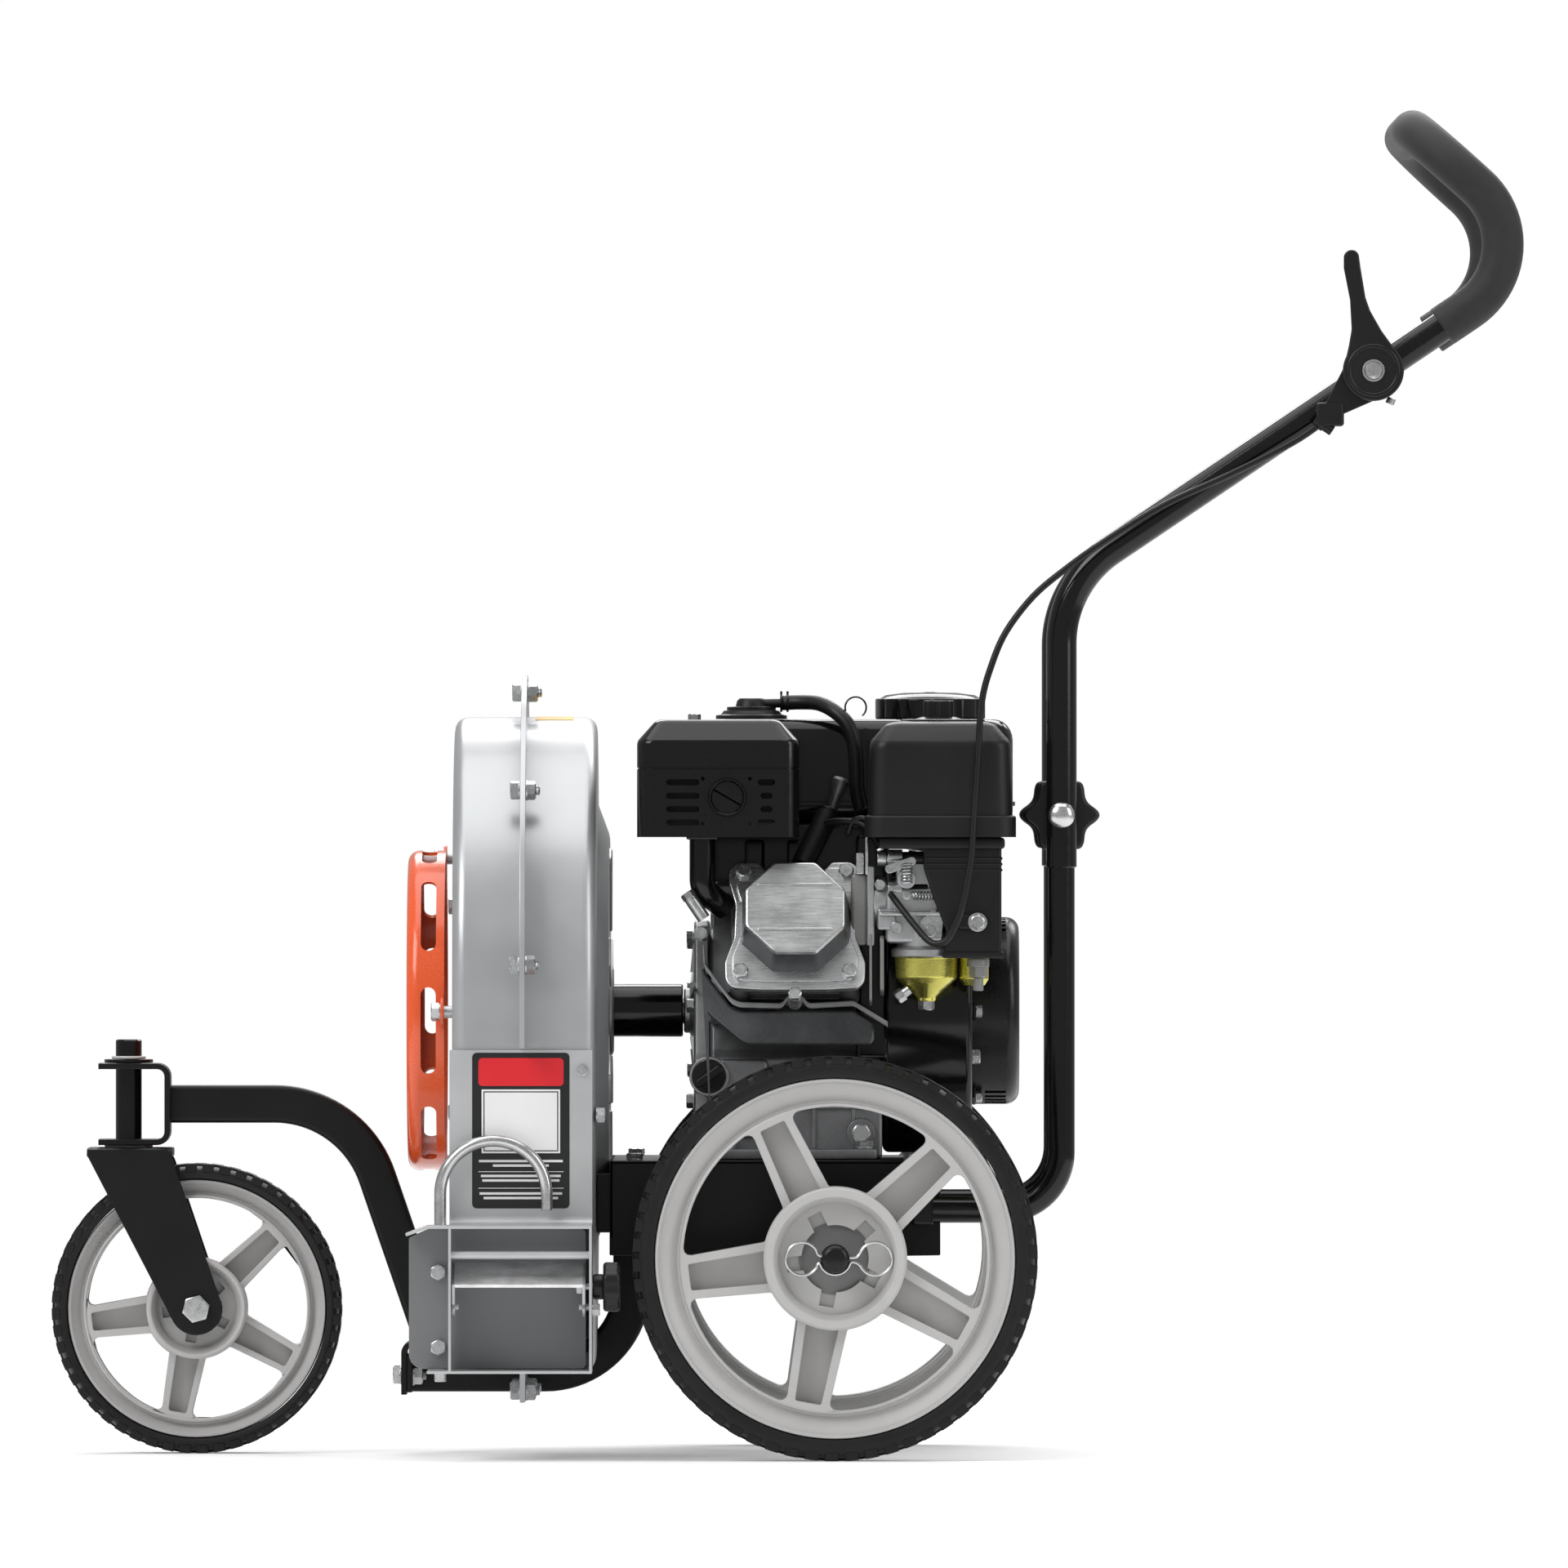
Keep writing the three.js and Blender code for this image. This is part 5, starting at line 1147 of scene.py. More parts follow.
def vane():
    y, z, left, right, thick = VANE_Y, VANE_Z, -249.3, -149.1, 2.4
    near, far = (-275, 133), (-232, 149)
    slope = math.atan2(far[1] - near[1], far[0] - near[0])
    drop = (thick * math.sin(slope), -thick * math.cos(slope))
    blade = [near, far, (far[0] + drop[0], far[1] + drop[1]), (near[0] + drop[0], near[1] + drop[1])]
    metal = Shape()
    metal.prism("X", blade, left, right, 0.5)
    metal.make("vane_blade", vane_steel, "vane", "chute_vane")
    ears = Shape()
    ear = [near, far, (-238, 118)] + arc(y, z, 8, -10, -170, 10) + [(-272, 118)]
    for a, b in ((left, left + thick), (right - thick, right)):
        ears.prism("X", ear, a, b, 0.5, [circle(y, z, 3.5, 20)])
    ears.make("vane_ears", sheet_gray, "vane")
    at = (0, y, 131)
    knob = Shape()
    star = lobed(y, 131, 84, lambda a: 18.2 + 0.6 * math.cos(7 * a))
    knob.prism("X", star, -135.9, -123.4, 2.6, steps=4)
    knob.disc("X", 9.6, -143.6, -135.5, at, 1.2)
    knob.make("vane_knob_head", knob_plastic, "vane", "vane_knob")
    nut = Shape()
    nut.disc("X", 3, -156.5, -142, at, 0.2, 20)
    nut.hexhead("X", at, 10, -151.8, -156.2)
    nut.make("vane_nut", plain_steel, "vane")


# ---------------------------------------------------------------- engine

BANK_LEAN = -25  # degrees about X, which raises the head of a cylinder that points to -Y
BANK = stood(SHAFT, BANK_LEAN, "X")
OIL_PORT = (-57, 0, 287)


def boxy(shape, x0, x1, y0, y1, corner, rows, steps=6):
    """A rounded box standing on Z: rows of (inset, height) from its foot to its crown."""
    loops = []
    for inset, z in rows:
        radius = max(0.8, corner - inset * 0.4)
        outline = rect(x0 + inset, x1 - inset, y0 + inset, y1 - inset, radius, steps)
        loops.append([(x, y, z) for x, y in outline])
    loft(shape, loops, True)


def crown(height, inset, steps=6):
    """Rows that round a box's walls over into its top."""
    rows = []
    for k in range(steps + 1):
        a = math.pi / 2 * k / steps
        rows.append((inset * (1 - math.cos(a)), height[0] + (height[1] - height[0]) * math.sin(a)))
    return rows


def crankcase():
    nose, tail, base = -56, 74, 224.3
    outline = [(-85, base, 4), (105, base, 4), (105, 330, 14), (85, 380, 16), (45, 410, 14), (-29, 415.8, 4),
               (-79.7, 307, 6), (-85, 300, 6)]
    case = Shape()
    case.prism("X", rounded(outline, 5), nose, tail, 3, steps=3)
    for side in (-1, 1):
        case.box(nose + 4, tail - 4, 95 * side - 14, 95 * side + 14, base, base + 8, 2)
    for x in (-38, -8, 22, 52):
        case.box(x - 1.6, x + 1.6, -87.6, -83, base + 8, 296, 1)
    case.box(nose + 6, tail - 6, -88.5, -83, 262, 266, 1.2)
    case.box(-50, -12, -90, -82, 240, 300, 4)
    case.disc("Y", 11, -84, -92, (58, 0, 244), 1.2)
    case.make("crankcase_casting", mid_casting, "chassis", "crankcase")
    cover = Shape()
    lid = rounded([(-80, base + 4, 10), (98, base + 4, 10), (98, 330, 16), (78, 378, 16), (30, 402, 12),
                   (-26, 405, 10),
                   (-76, 305, 10)], 5)
    cover.prism("X", lid, -68.5, nose - 0.3, 2.6, steps=3)
    at = SHAFT
    cover.lathe("X", [(11, -76.3), (15.6, -76.3), (17, -75), (17, -72), (22, -70), (34, -68), (34, -64),
                      (11, -64), (11, -76.3)],
                at, 48)
    cover.disc("Y", 15, -98, -85.3, OIL_PORT, 1.2)
    cover.box(-68.5, nose - 0.3, -96, -70, 274, 300, 3)
    for turn in range(0, 360, 60):
        cover.place = about("X", turn + 12, at)
        cover.prism("Y", [(-67, SHAFT_Z + 30), (-71.5, SHAFT_Z + 30), (-68, SHAFT_Z + 66),
                          (-67, SHAFT_Z + 66)], -1.6, 1.6, 0.5)
    cover.place = Matrix.Identity(4)
    cover.make("side_cover", cast_aluminium, "chassis", "crankcase_cover")
    bolts = Shape()
    for y, z in ((-70, 240), (-6, 236), (60, 240), (88, 290), (84, 352), (36, 388), (-20, 392), (-52, 340),
                 (-74, 268)):
        bolts.bolt("X", (0, y, z), 10, (-68.6, -1), height=4.6, turn=11)
    bolts.bolt("Y", (58, 0, 244), 13, (-92.1, -1), height=6)
    bolts.bolt("Y", (-62.5, 0, 395), 11, (-96, -1), height=5)
    bolts.make("case_bolts", plain_steel)


def oil_cap():
    cap = Shape()
    at = OIL_PORT
    cap.disc("Y", 13, -98.4, -104.6, at, 1.6, 48)
    cap.place = about("Y", -35, at)
    cap.prism("Y", slot(at[0], at[2], 25, 7, 8), -112.6, -104, 1.6, steps=3)
    cap.make("oil_cap_disc", knob_plastic, "oil_lid", "oil_filler_cap")


def regular(u, v, half, sides, turn=0):
    return [(u + half / math.cos(math.pi / sides) * math.cos(math.radians(turn + 360 / sides * (k + 0.5))),
             v + half / math.cos(math.pi / sides) * math.sin(math.radians(turn + 360 / sides * (k + 0.5))))
            for k in range(sides)]


def cylinder_bank():
    x, z = 8, -2.5
    barrel = Shape(BANK)
    barrel.box(x - 40, x + 40, -158, -60.3, z - 40, z + 38, 4)
    for y in (-70, -80, -90, -100, -110, -120, -130):
        barrel.box(x - 48, x + 46, y - 2.6, y, z - 44, z + 42, 1)
    barrel.prism("Y", rect(x - 45, x + 43, z - 46, z + 43, 12, 5), -158, -140, 1.4)
    barrel.box(x + 40, x + 50, -156, -128, z - 6, z + 34, 3)
    barrel.box(x - 62, x - 40, -142, -112, z + 34, z + 48, 6)
    for sx, sz in ((-38.5, 41), (38.5, 41), (-41, -41), (41, -41)):
        barrel.disc("Y", 8, -158, -120, (x + sx, 0, z + sz), 1)
    barrel.box(-58, -30, -120, -60, z - 38, z + 20, 5)
    barrel.make("cylinder_casting", mid_casting, "chassis", "cylinder")
    cover = Shape(BANK)
    ears = [(-38.5, 41.5, 10), (38.5, 41.5, 10), (41, -41.5, 10.5), (-41, -41.5, 10.5)]
    half_edge = [(-20, 42, 6), (20, 42, 6), (28, 51, 6), (48.5, 51, 10), (49.5, 33, 8), (45, 16, 16),
                 (46, -12, 16),
                 (53, -32, 12), (52.5, -53, 10), (24, -55, 20)]
    other = [(-u, v, r) for u, v, r in half_edge[:1:-1]]
    edge = rounded([(x + u, z + v, r) for u, v, r in half_edge + other], 8)
    cover.prism("Y", edge, -164, -158.3, 1.2, steps=2)
    cover.prism("Y", rounded([(x + u * 0.9, z + v * 0.9, r) for u, v, r in half_edge + other], 8), -166, -163,
                1.2, steps=2)
    slope = [rounded([(*p, 6) for p in regular(x, z, half, 8)], 4)
             for half in (42, 40.6, 37.8, 37.7, 36.9, 35.4)]
    levels = [[(u, y, v) for u, v in row] for row, y in zip(slope, (-164, -167, -190, -190, -192.6, -193.5))]
    wall = Shape(BANK)
    loft(wall, levels[:3], True)
    # The sloping wall round the rocker cover's raised face is dark grey: painted shade, darker than the
    # brushed face it carries.
    wall.make("rocker_cover_wall", dark_casting_and_painted_shade)
    loft(cover, levels[3:], True)
    for low in (z - 19.5, z + 17.5):
        cover.prism("Y", rect(x - 28, x + 28, low, low + 2, 0.8, 2), -194.6, -193, 0.5)
    cover.make("rocker_cover", brushed, "chassis", "valve_cover")
    bolts = Shape(BANK)
    for cx, cz, _ in ears:
        bolts.bolt("Y", (x + cx, 0, z + cz), 10.5, (-164.1, -1), height=5.6, turn=8)
    bolts.disc("Y", 5, -152, -168, (x, 0, -64), 0.8, 28)
    bolts.bolt("Y", (x, 0, -64), 9, (-168, -1), height=4)
    bolts.make("rocker_cover_bolts", plain_steel)
    baffle = Shape()
    low = [(-61.7, 387), (-60.5, 369, 10), (-38, 339.5, 14), (-2, 338.5, 5), (2, 344, 3), (14, 344, 3),
           (18, 338.5, 5),
           (52, 340.5, 8), (78, 324.5)]
    top = [(x0, z0 + 4.4, *r) for x0, z0, *r in low]
    band = rounded(low, 6, False) + rounded(top, 6, False)[::-1]
    rim = Shape()
    rim.prism("Y", band, -150, -92, 0.8)
    # The rim's lighter grey is painted light on the baffle's top edge.
    rim.make("baffle_rim", mid_casting)
    low = [(-61, 384), (-60, 366, 8), (-38, 337, 14), (52, 338, 8), (68, 328), (68, 311, 6), (-30, 311, 16),
           (-60, 336, 12)]
    baffle.prism("Y", rounded(low, 6), -128, -94, 2.5, steps=3)
    # The baffle body's darker grey is painted shade below the lit top edge.
    baffle.make("cylinder_baffle", dark_casting_and_painted_shade)


def muffler():
    x0, x1, y0, y1, z0, z1 = -111, 11, -185, -64, 468, 556.5
    shell = Shape()
    rows = [(0, z0), (0, 519), (0.7, 519.3), (0.7, 520.2), (0, 520.5), (0, 538), (0.5, 540.2), (1.6, 541.8)]
    rows += [(12.2, 553.6), (14, 555.2), (16.4, 556.2), (19, z1)]
    boxy(shell, x0, x1, y0, y1, 13, rows)
    cuts = Shape()
    boxy(cuts, x0 + 1.6, x1 - 1.6, y0 + 1.6, y1 - 1.6, 11.6, [(0, z0 - 5), (0, 530), (2, 538), (12, 552)])
    for k, z in enumerate((509.3, 499.2, 489.1, 479)):
        for centre, length in ((-76.5, 25), (-13.5, (13, 9, 9, 13)[k])):
            cuts.prism("Y", slot(centre, z, length, 4.6), y0 - 3, y0 + 4, 0.05)
    outlet = (-43, 0, 498)
    cuts.disc("Y", 14.6, y0 - 3, y0 + 4, outlet, 0.05, 48)
    for x, z in ((-61.5, 512), (-61.5, 478), (-26, 512), (-26, 478)):
        cuts.disc("Y", 1.5, y0 - 3, y0 + 4, (x, 0, z), 0.05, 16)
    for row in range(3):
        for column in range(5):
            cuts.prism("Z", slot(-83 + 19 * column, -96 - 20 * row, 13, 4), 548, 560, 0.05)
    shell.make("muffler_shield", gloss_black, "chassis", "muffler_guard", cuts=cuts)
    can = Shape()
    boxy(can, x0 + 8, x1 - 8, y0 + 9, y1 - 8, 12, [(3, z0 + 8), (0, z0 + 11), (0, 524), (4, 528)])
    can.make("muffler_can", frame_black, "chassis", "muffler")
    port = Shape()
    at = outlet
    port.lathe("Y", [(12.2, y0 + 9), (12.2, y0 - 2.2), (13, y0 - 3), (14, y0 - 3), (14.4, y0 - 2.2),
                     (14.4, y0 + 9), (12.2, y0 + 9)],
               at, 56)
    port.place = about("Y", 30, at)
    for start, end in ((4, 176), (184, 356)):
        port.prism("Y", arc(outlet[0], outlet[2], 11.9, start, end, 24), y0 - 1.2, y0 + 0.8, 0.4)
    port.make("tail_port", gloss_black)
    pipe = Shape()
    pipe.pipe(bent([(-62, -132, 473), (-62, -132, 428, 16), (-44, -120, 414)], 14), 9.6, 28)
    pipe.box(-74, -50, -146, -118, 466, 471, 1.4)
    pipe.make("exhaust_elbow", gloss_black, "chassis", "exhaust_pipe")
    bits = Shape(about("Y", -34, (-62, -132, 421)))
    bits.disc("Z", 5, 408, 426, (-69, -140, 0), 0.6, 24)
    bits.bolt("Z", (-69, -140, 0), 9.5, (426, 1), height=5)
    bits.place = Matrix.Identity(4)
    bits.bolt("Z", (-68, -96, 0), 8.5, (z1 - 1.2, 1), height=5)
    bits.bolt("Y", (-63, 0, 395.5), 10, (-120, -1), height=6)
    bits.disc("Y", 4, -84, -120, (-63, 0, 395.5), 0.4, 20)
    bits.make("exhaust_studs", plain_steel)


def air_cleaner():
    x0, x1, y0, y1, z0, z1 = 61.7, 173, -190, -64, 468, 557
    cover = Shape()
    rows = [(-1.4, z0), (-1.4, 483), (-0.6, 484), (1.2, 484.4), (1.4, 500), (2.2, 534), (2.8, 538), (4, 541)]
    rows += [(13, 551.4), (15.4, 553.2), (19, 554.4), (30, 556)]
    boxy(cover, x0, x1, y0, y1, 15, rows, 7)
    boxy(cover, x0 + 26, x1 - 22, y0 + 26, y1 - 26, 10, [(0, 552), (0, 556.4), (1.4, z1)])
    cover.make("filter_cover", black_plastic, "chassis", "air_cleaner_cover")
    wing = Shape()
    middle = ((x0 + x1) / 2 - 1, (y0 + y1) / 2)
    wing.lathe("Z", [(0, 555), (19, 555), (19, 556.6), (14, 558.4), (9, 559.4), (9, 561), (0, 561)],
               (*middle, 0), 48)
    star = lobed(*middle, 80, lambda a: 10.4 + 1.2 * math.cos(8 * a))
    wing.prism("Z", star, 558, 571, 1.2, steps=2)
    wing.make("filter_knob", knob_plastic)
    body = Shape()
    body.box(71, 166, -180, -74, 459, 467.8, 2.5)
    silhouette = rounded([(104.5, 461, 2), (163.5, 461, 2), (163.5, 377, 2), (121, 377, 2), (121.5, 398, 8),
                          (113, 420, 12),
                          (105, 444, 8)], 5)
    body.prism("Y", silhouette, -172, -114, 2.4, steps=3)
    for z in (452, 447.6, 443.2):
        body.box(106, 164.3, -172.7, -113, z - 1, z + 1, 0.7)
    body.box(119, 165.5, -174, -112, 376.8, 381.5, 1.2)
    body.prism("Y", slot(141, 404, 26, 12, 8), -177, -170, 2, steps=2)
    for z in (452, 428):
        body.disc("X", 5, 88, 108, (0, -156, z), 0.8, 24)
    body.make("filter_body", black_plastic, "chassis", "air_cleaner_body")
    screws = Shape()
    screws.bolt("Y", (145.4, 0, 404), 10, (-177, -1), height=5, turn=20)
    screws.disc("Y", 7.2, -177, -178.4, (145.4, 0, 404), 0.4, 30)
    for z in (452.5, 428.5):
        screws.disc("X", 6.2, 78, 89, (0, -156, z), 0.6, 24)
        screws.hexhead("X", (0, -156, z), 10, 84, 79)
    screws.make("filter_screws", plain_steel)


def carburettor():
    body = Shape()
    body.box(62, 68, -158, -119, 386, 446, 1.6)
    body.disc("X", 19, 66, 130.5, (0, -139, 419), 2, 40)
    body.box(76, 118, -162, -120, 388, 430, 4)
    body.lathe("Z", [(0, 377.6), (26, 377.6), (26.6, 378.4), (26.6, 383), (25, 384.4), (22, 386), (22, 396),
                     (0, 396)],
               (107, -142, 0), 56)
    body.box(84, 112, -158, -126, 426, 452, 3)
    body.disc("Y", 7, -170, -150, (92, 0, 436), 1, 28)
    body.disc("Y", 5, -168, -150, (108, 0, 402), 1, 24)
    body.box(70, 84, -166, -150, 398, 414, 2)
    body.disc("Z", 4, 440, 462, (99, -148, 0), 0.8, 20)
    body.disc("Z", 5.5, 452, 458, (99, -148, 0), 0.8, 20)
    body.make("carburettor_casting", cast_aluminium, "chassis", "carburetor")
    port = Shape()
    port.box(50, 63, -152, -110, 386, 440, 3)
    port.disc("X", 14, 44, 64, (0, -132, 416), 1.5, 32)
    port.prism("X", rounded([(-166, 344, 3), (-124, 340, 3), (-116, 392, 5), (-160, 396, 5)], 4), 64, 66, 0.5)
    port.prism("X", rounded([(-164, 352, 3), (-130, 348, 3), (-124, 392, 5), (-160, 394, 5)], 4), 72, 75, 0.6)
    port.make("inlet_flanges", clear_plastic)
    works = Shape()
    works.pipe([(72, -168, 410), (118, -168, 410)], 2, 12)
    works.pipe(spline([(118, -168, 410), (122, -167, 414), (121, -166, 430), (112, -165, 436)], 6), 1.2, 8)
    works.coil("Z", (92, -170, 0), 4, 0.8, 432, 448, 7)
    works.coil("X", (0, -166, 424), 3, 0.7, 96, 112, 7)
    works.prism("Y", rounded([(78, 440, 3), (100, 448, 3), (98, 454, 3), (74, 446, 3)], 3), -171, -169, 0.4)
    works.prism("Y", rounded([(100, 392, 2), (118, 390, 2), (120, 408, 3), (112, 414, 3), (102, 404, 2)], 3),
                -168.4, -166.4, 0.4)
    works.disc("Y", 4.4, -173, -168, (110, 0, 397), 0.8, 24)
    works.disc("Y", 3.2, -176, -168, (92, 0, 424), 0.6, 20)
    works.hexhead("Y", (84, 0, 400), 8, -166, -171)
    works.hexhead("Y", (72, 0, 432), 8, -158, -164)
    works.pipe(spline([(70, -160, 458), (84, -164, 462), (100, -164, 458), (118, -160, 460)], 6), 1.1, 8)
    works.pipe([(62, -164, 440), (62, -164, 470)], 1.2, 8)
    works.box(54, 60, -160, -140, 440, 456, 1)
    works.disc("X", 6, 70, 77, (0, -150, 452), 0.7, 24)
    works.disc("X", 4.5, 77, 86, (0, -150, 452), 0.7, 24)
    works.make("carburettor_linkage", plain_steel)
    at = (107, -142, 0)
    bowl = Shape()
    rows = [(0, 344), (7, 344, 1), (7.6, 347, 2), (12, 351.5, 3), (19.5, 358, 4), (23.4, 362, 3),
            (24, 376.4, 1), (24.8, 377.4), (0, 377.4)]
    bowl.lathe("Z", rounded(rows, 4, False), at, 64)
    bowl.make("bowl_cup", yellow_zinc, "chassis", "float_bowl")
    drain = Shape()
    drain.hexhead("Z", at, 11, 344, 337.4, 10)
    drain.place = stood((91, -150, 351), -125, "Y")
    drain.disc("Z", 4, -4, 2, soft=0.4, sides=24)
    drain.hexhead("Z", (0, 0, 0), 9, 1.5, 8, 6)
    drain.make("bowl_drain", plain_steel)
    cup = Shape()
    cup.lathe("Z", rounded([(0, 356), (8, 356, 1.5), (11, 361, 2), (11, 376.6), (0, 376.6)], 4, False),
              (143, -143, 0), 40)
    cup.make("sediment_bowl", yellow_zinc, "chassis", "sediment_cup")
    nut = Shape()
    nut.disc("Z", 8.5, 370, 376.4, (146, -152, 0), 0.8, 32)
    nut.hexhead("Z", (146, -152, 0), 12, 370, 362, 12)
    nut.disc("Z", 4, 352, 362, (146, -152, 0), 1, 24)
    nut.make("fuel_union", clear_plastic)


def fuel_tank():
    x0, x1, y0, y1, z0, z1 = -60, 175, -48, 130, 478, 557
    tank = Shape()
    rows = [(9, z0), (3, z0 + 3), (0, z0 + 9), (0, 491), (-1.8, 491.6), (-1.8, 494.4), (0, 495), (0, z1 - 16)]
    rows += crown((z1 - 16, z1), 14, 6)
    boxy(tank, x0 + 1.8, x1 - 1.8, y0 + 1.8, y1 - 1.8, 20, rows, 7)
    for x in (-40, 30):
        tank.box(x, x + 20, 0, 30, 416.2, z0 + 2, 2)
    tank.disc("Z", 26, z1 - 4, z1 + 0.8, (111, 40, 0), 0.6)
    tank.make("tank_pressing", gloss_black, "chassis", "fuel_tank")
    lid = Shape()
    scallop = lobed(111, 40, 144, lambda a: 42 - 1.6 * max(0.0, math.cos(12 * a)) ** 6)
    lid.prism("Z", scallop, 557.4, 573, 1.4, steps=3)
    lid.lathe("Z", [(0, 570), (39, 570), (38.4, 573), (34, 575.6), (20, 577.4), (6, 577.6), (5.4, 578),
                    (0, 578)], (111, 40, 0), 72)
    lid.make("fuel_lid_cap", gloss_black, "fuel_lid", "fuel_cap", slot="black_plastic")
    vent = Shape()
    at = (-25, -18, 0)
    rows = [(0, 557.3), (27, 557.3), (27, 560), (23, 561), (21, 563.6), (18.6, 564), (18.6, 566.4), (12, 567),
            (11, 571), (9, 573), (0, 573)]
    vent.lathe("Z", rows, at, 48)
    vent.pipe([(-26, -18, 569), (4, -22, 569.4)], 3.4, 20)
    vent.make("vent_cap", black_plastic, "chassis", "fuel_tank_vent")
    hose_route = spline([(-2, -22, 569.4), (12, -26, 570), (26, -36, 569), (38, -48, 563), (48, -54, 553),
                         (53, -56, 538),
                         (54.5, -56, 520), (55, -56, 504), (58, -56, 489)], 6)
    hose = Shape()
    hose.pipe(hose_route, 5.6, 22, 0.08)
    piece = hose.make("breather_hose", hose_rubber, "chassis", "vent_hose")
    clip = Shape()
    for x in (-2.4, 2.4):
        clip.disc("X", 7, x - 0.9, x + 0.9, (0, -22.4, 569.6), 0.3, 32, bore=5.7)
        clip.box(x - 0.9, x + 0.9, -24, -21, 575, 578.5, 0.4)
    ring = [(54 + 8 * math.cos(a), -52, 566 + 8 * math.sin(a))
            for a in (math.radians(200 - 12 * k) for k in range(22))]
    clip.pipe(ring, 0.7, 8)
    clip.make("hose_clips", gloss_black)


def spark_plug():
    boot = Shape()
    boot.pipe([(13, -124, 446), (17, -120, 454), (27, -112, 474), (33, -107, 486)], 8.6, 24, 0.2)
    boot.pipe([(33, -107, 486), (34.4, -106, 489)], 6, 20, 0.1)
    boot.pipe(spline([(30, -116, 478), (42, -126, 480), (58, -134, 478), (68, -140, 468), (76, -146, 452),
                      (79, -150, 438),
                      (77, -152, 424), (66, -152, 418)], 6), 2.7, 14)
    boot.pipe(spline([(66, -140, 476), (60, -136, 482), (52, -132, 480), (48, -128, 470)], 5), 2.2, 12)
    boot.make("plug_boot", hose_rubber, "chassis", "spark_plug_boot")
    cap = Shape(stood((36, -105, 490), 18, "Y"))
    cap.lathe("Z", [(0, -16), (5.4, -14), (4.6, 0), (4, 10), (6, 16), (6.4, 22), (5, 24), (0, 24.4)],
              sides=32)
    cap.make("choke_knob", dark_casting_and_painted_shade, slot="black_plastic")


def cooling():
    at = SHAFT
    x0, x1 = 74.3, 142
    shroud = Shape()
    outline = arc(0, SHAFT_Z, 115, -65, 245, 60) + [(-48, 229), (48, 229)]
    shroud.prism("X", outline, x0, x1, 5, [circle(0, SHAFT_Z, 58, 60)], 4)
    shroud.make("fan_shroud", gloss_black, "chassis", "cooling_shroud")
    cover = Shape()
    outer = rounded([(71, 142.3), (71, 178, 10), (0, 178)], 6, False)
    inner = rounded([(68.5, 142.3), (68.5, 175.5, 8), (0, 175.5)], 6, False)
    cover.lathe("X", outer + inner[::-1], at, 96)
    for turn in range(0, 360, 60):
        cover.place = about("X", turn + 30, at)
        cover.prism("X", [(-7, SHAFT_Z + 69), (7, SHAFT_Z + 69), (5.5, SHAFT_Z + 79)]
                    + [(-5.5, SHAFT_Z + 79)], 142.3, 145, 0.8)
    cuts = Shape()
    for turn in range(0, 360, 12):
        cuts.place = about("X", turn, at)
        cuts.prism("X", [(u, SHAFT_Z + 42 + v) for v, u in slot(0, 0, 26, 4, 5)], 170, 182, 0.05)
    for turn in range(150, 391, 6):
        cuts.place = about("X", turn, at)
        cuts.prism("Z", [(152, -1.9), (168, -1.9), (168, 1.9), (152, 1.9)], SHAFT_Z + 64, SHAFT_Z + 76, 0.05)
    cover.place = Matrix.Identity(4)
    place = stood((161, 0, SHAFT_Z), 30, "X")
    cuts.place = place
    cuts.disc("Y", 4.6, 40, 80, soft=0.05)
    cover.make("recoil_housing", black_paint, "chassis", "recoil_cover", cuts=cuts)
    grip = Shape(place)
    grip.prism("Z", rounded([(-8, 74, 3), (8, 74, 3), (9, 86, 5), (5, 90, 4), (-5, 90, 4), (-9, 86, 5)], 4),
               -28, 28, 3, steps=3)
    grip.pipe([(0, 44, 0), (0, 76, 0)], 2.8, 16)
    grip.disc("Y", 5, 70, 75, soft=1)
    grip.make("pull_grip", knob_plastic, "pull", "recoil_handle")
    screws = Shape()
    for turn in range(0, 360, 60):
        screws.place = about("X", turn + 30, at)
        screws.bolt("X", (0, 0, SHAFT_Z + 75), 8, (145, 1), height=4)
    for turn in (20, 110, 200, 290):
        screws.place = about("X", turn, at)
        screws.bolt("X", (0, 0, SHAFT_Z + 100), 10, (x1 + 0.1, 1), height=5)
    screws.make("shroud_screws", plain_steel)
    backing = Shape()
    backing.box(-60, 72, -62, -30, 416.5, 478, 3)
    backing.box(54, 79, -112, -60, 300, 470, 4)
    for x in (-30, 2):
        backing.box(x, x + 15, -66, -60, 432, 466, 3)
    backing.make("cylinder_cowl", gloss_black)


# ---------------------------------------------------------------- stage


def plain(name, color, rough, glow):
    material = bpy.data.materials.new(name)
    material.use_nodes = True
    shader = material.node_tree.nodes["Principled BSDF"]
    shader.inputs["Base Color"].default_value = (*color, 1)
    shader.inputs["Roughness"].default_value = rough
    shader.inputs["Emission Color"].default_value = (1, 1, 1, 1)
    shader.inputs["Emission Strength"].default_value = glow
    return material


def floor():
    mesh = bpy.data.meshes.new("floor")
    reach = 1.9
    corners = [(-reach, -reach, 0), (reach, -reach, 0), (reach, reach, 0), (-reach, reach, 0)]
    mesh.from_pydata(corners, [], [(0, 1, 2, 3)])
    piece = bpy.data.objects.new("floor", mesh)
    bpy.context.scene.collection.objects.link(piece)
    mesh.materials.append(plain("pale_floor", (0.86, 0.86, 0.86), 0.7, 0.2))


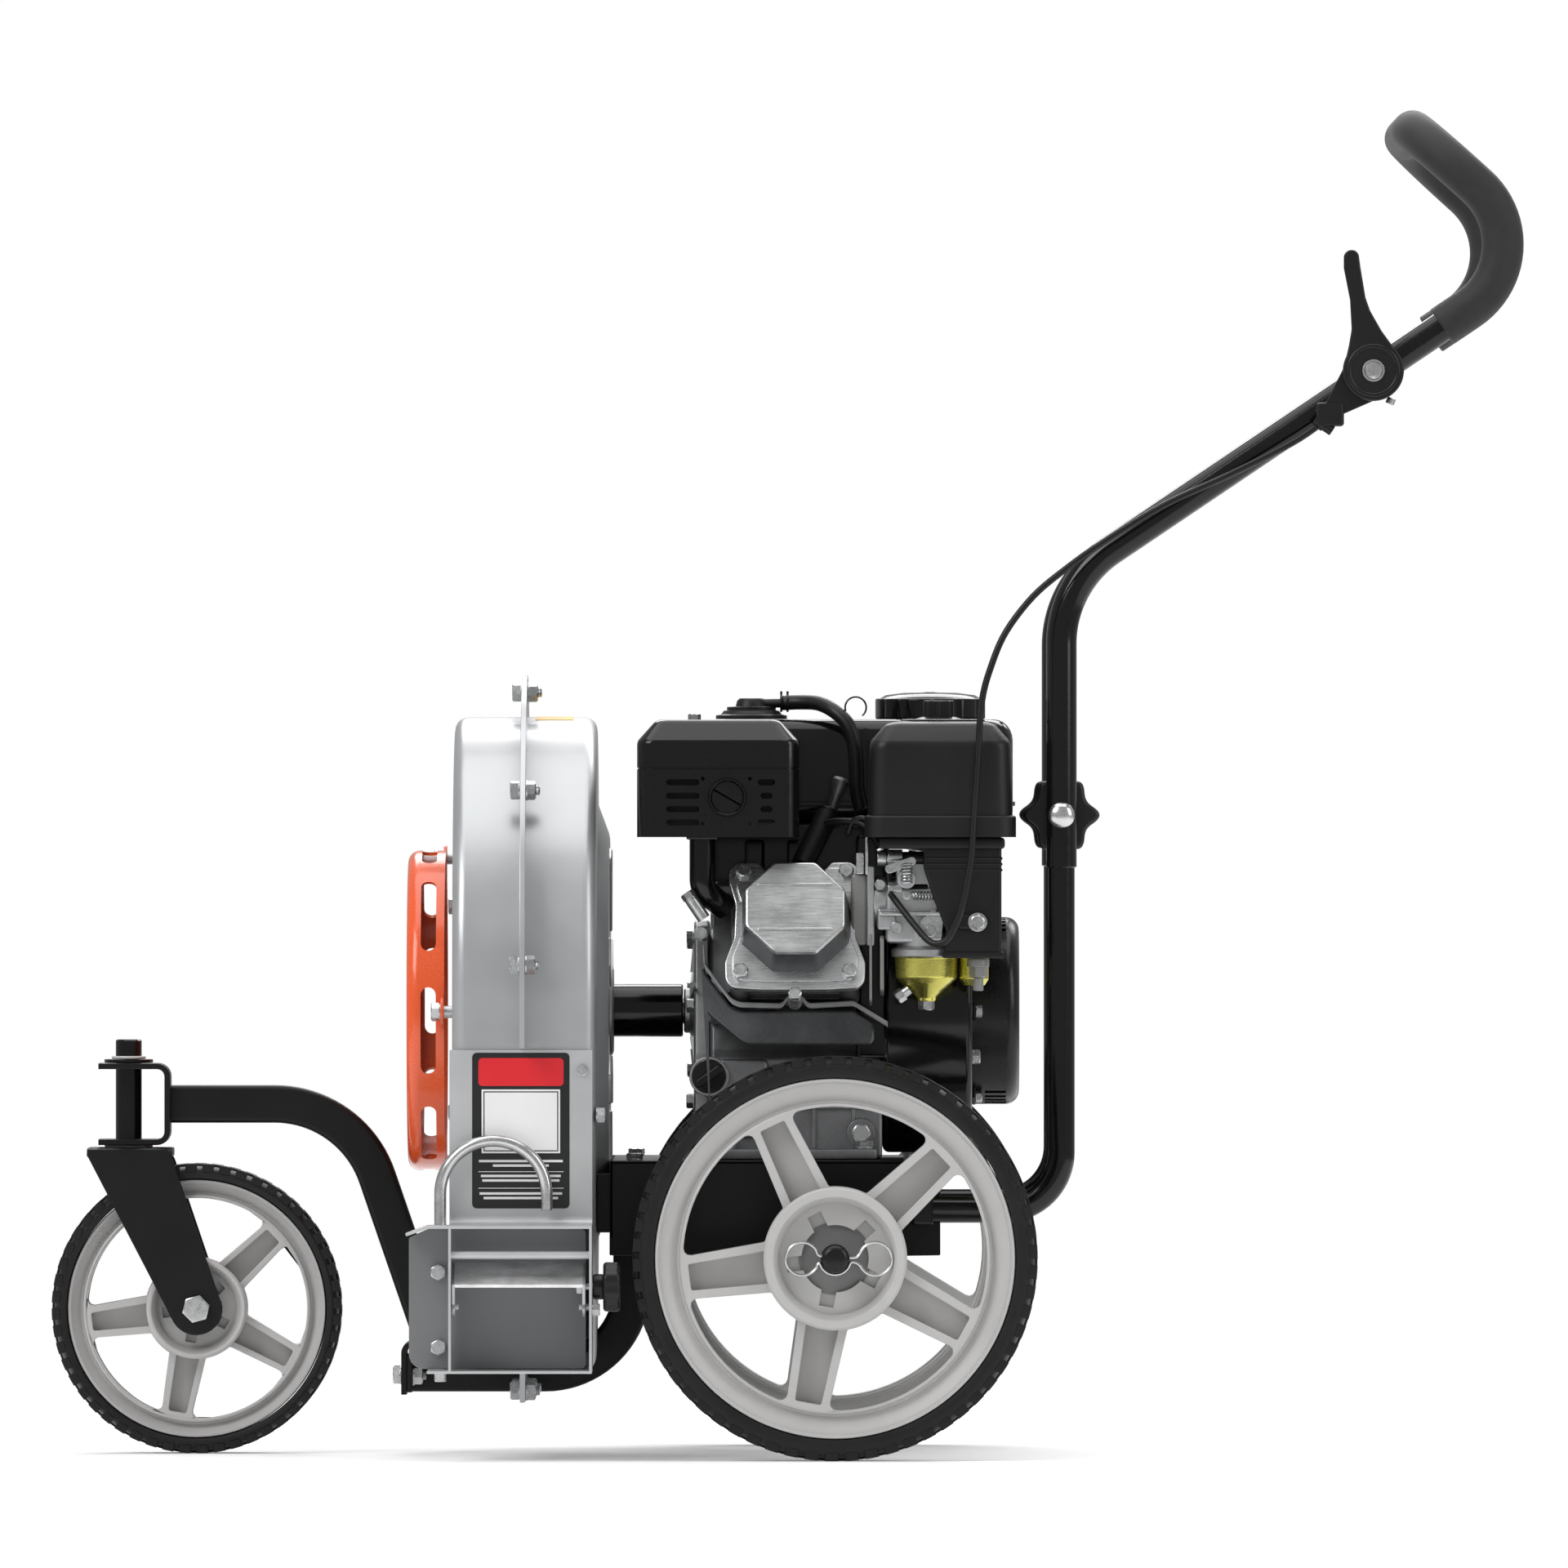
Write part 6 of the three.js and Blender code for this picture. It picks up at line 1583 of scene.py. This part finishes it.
def soft_light(name, place, target, size, power):
    lamp = bpy.data.lights.new(name, "AREA")
    lamp.shape, lamp.size, lamp.size_y, lamp.energy = "RECTANGLE", size[0], size[1], power
    holder = bpy.data.objects.new(name, lamp)
    holder.location = place
    holder.rotation_euler = (Vector(target) - Vector(place)).to_track_quat("-Z", "Y").to_euler()
    bpy.context.scene.collection.objects.link(holder)


SKY_LIGHT, SKY_SEEN = 0.4, 1.0  # the white world, as light and as the camera sees it


def lights():
    world = bpy.data.worlds.new("studio")
    bpy.context.scene.world = world
    world.use_nodes = True
    tree = world.node_tree
    sky = tree.nodes["Background"]
    sky.inputs["Color"].default_value = (1, 1, 1, 1)
    rays = tree.nodes.new("ShaderNodeLightPath")
    level = node(tree, "ShaderNodeMapRange", [("Value", rays.outputs["Is Camera Ray"]), ("To Min", SKY_LIGHT),
                                              ("To Max", SKY_SEEN)])
    tree.links.new(level.outputs["Result"], sky.inputs["Strength"])
    bpy.context.scene.view_settings.view_transform = "Standard"
    soft_light("key", (-2.2, -2.2, 2.6), (0, 0, 0.35), (1.8, 1.8), 62)
    soft_light("fill", (2.6, -1.6, 1.6), (0, 0, 0.4), (1.0, 2.2), 26)
    soft_light("back", (0.4, 2.6, 2.4), (0, 0, 0.4), (3.0, 1.4), 60)
    soft_light("top", (0, 0, 3.2), (0, 0, 0), (3.0, 3.0), 60)


def camera():
    eye = bpy.data.cameras.new("camera")
    eye.lens, eye.sensor_width = 600, 36
    holder = bpy.data.objects.new("camera", eye)
    holder.location = (-0.0003, -19.85, 0.508)
    holder.rotation_euler = (math.pi / 2, 0, 0)
    eye.clip_end = 100
    bpy.context.scene.collection.objects.link(holder)
    bpy.context.scene.camera = holder


# ---------------------------------------------------------------- assembly

camera()
wheels()
caster()
frame_bars()
deck()
handle()
throttle()
throttle_cable()
housing()
rotor()
inlet_guard()
chute()
diverter()
vane()
crankcase()
oil_cap()
cylinder_bank()
muffler()
air_cleaner()
carburettor()
fuel_tank()
spark_plug()
cooling()
floor()
lights()
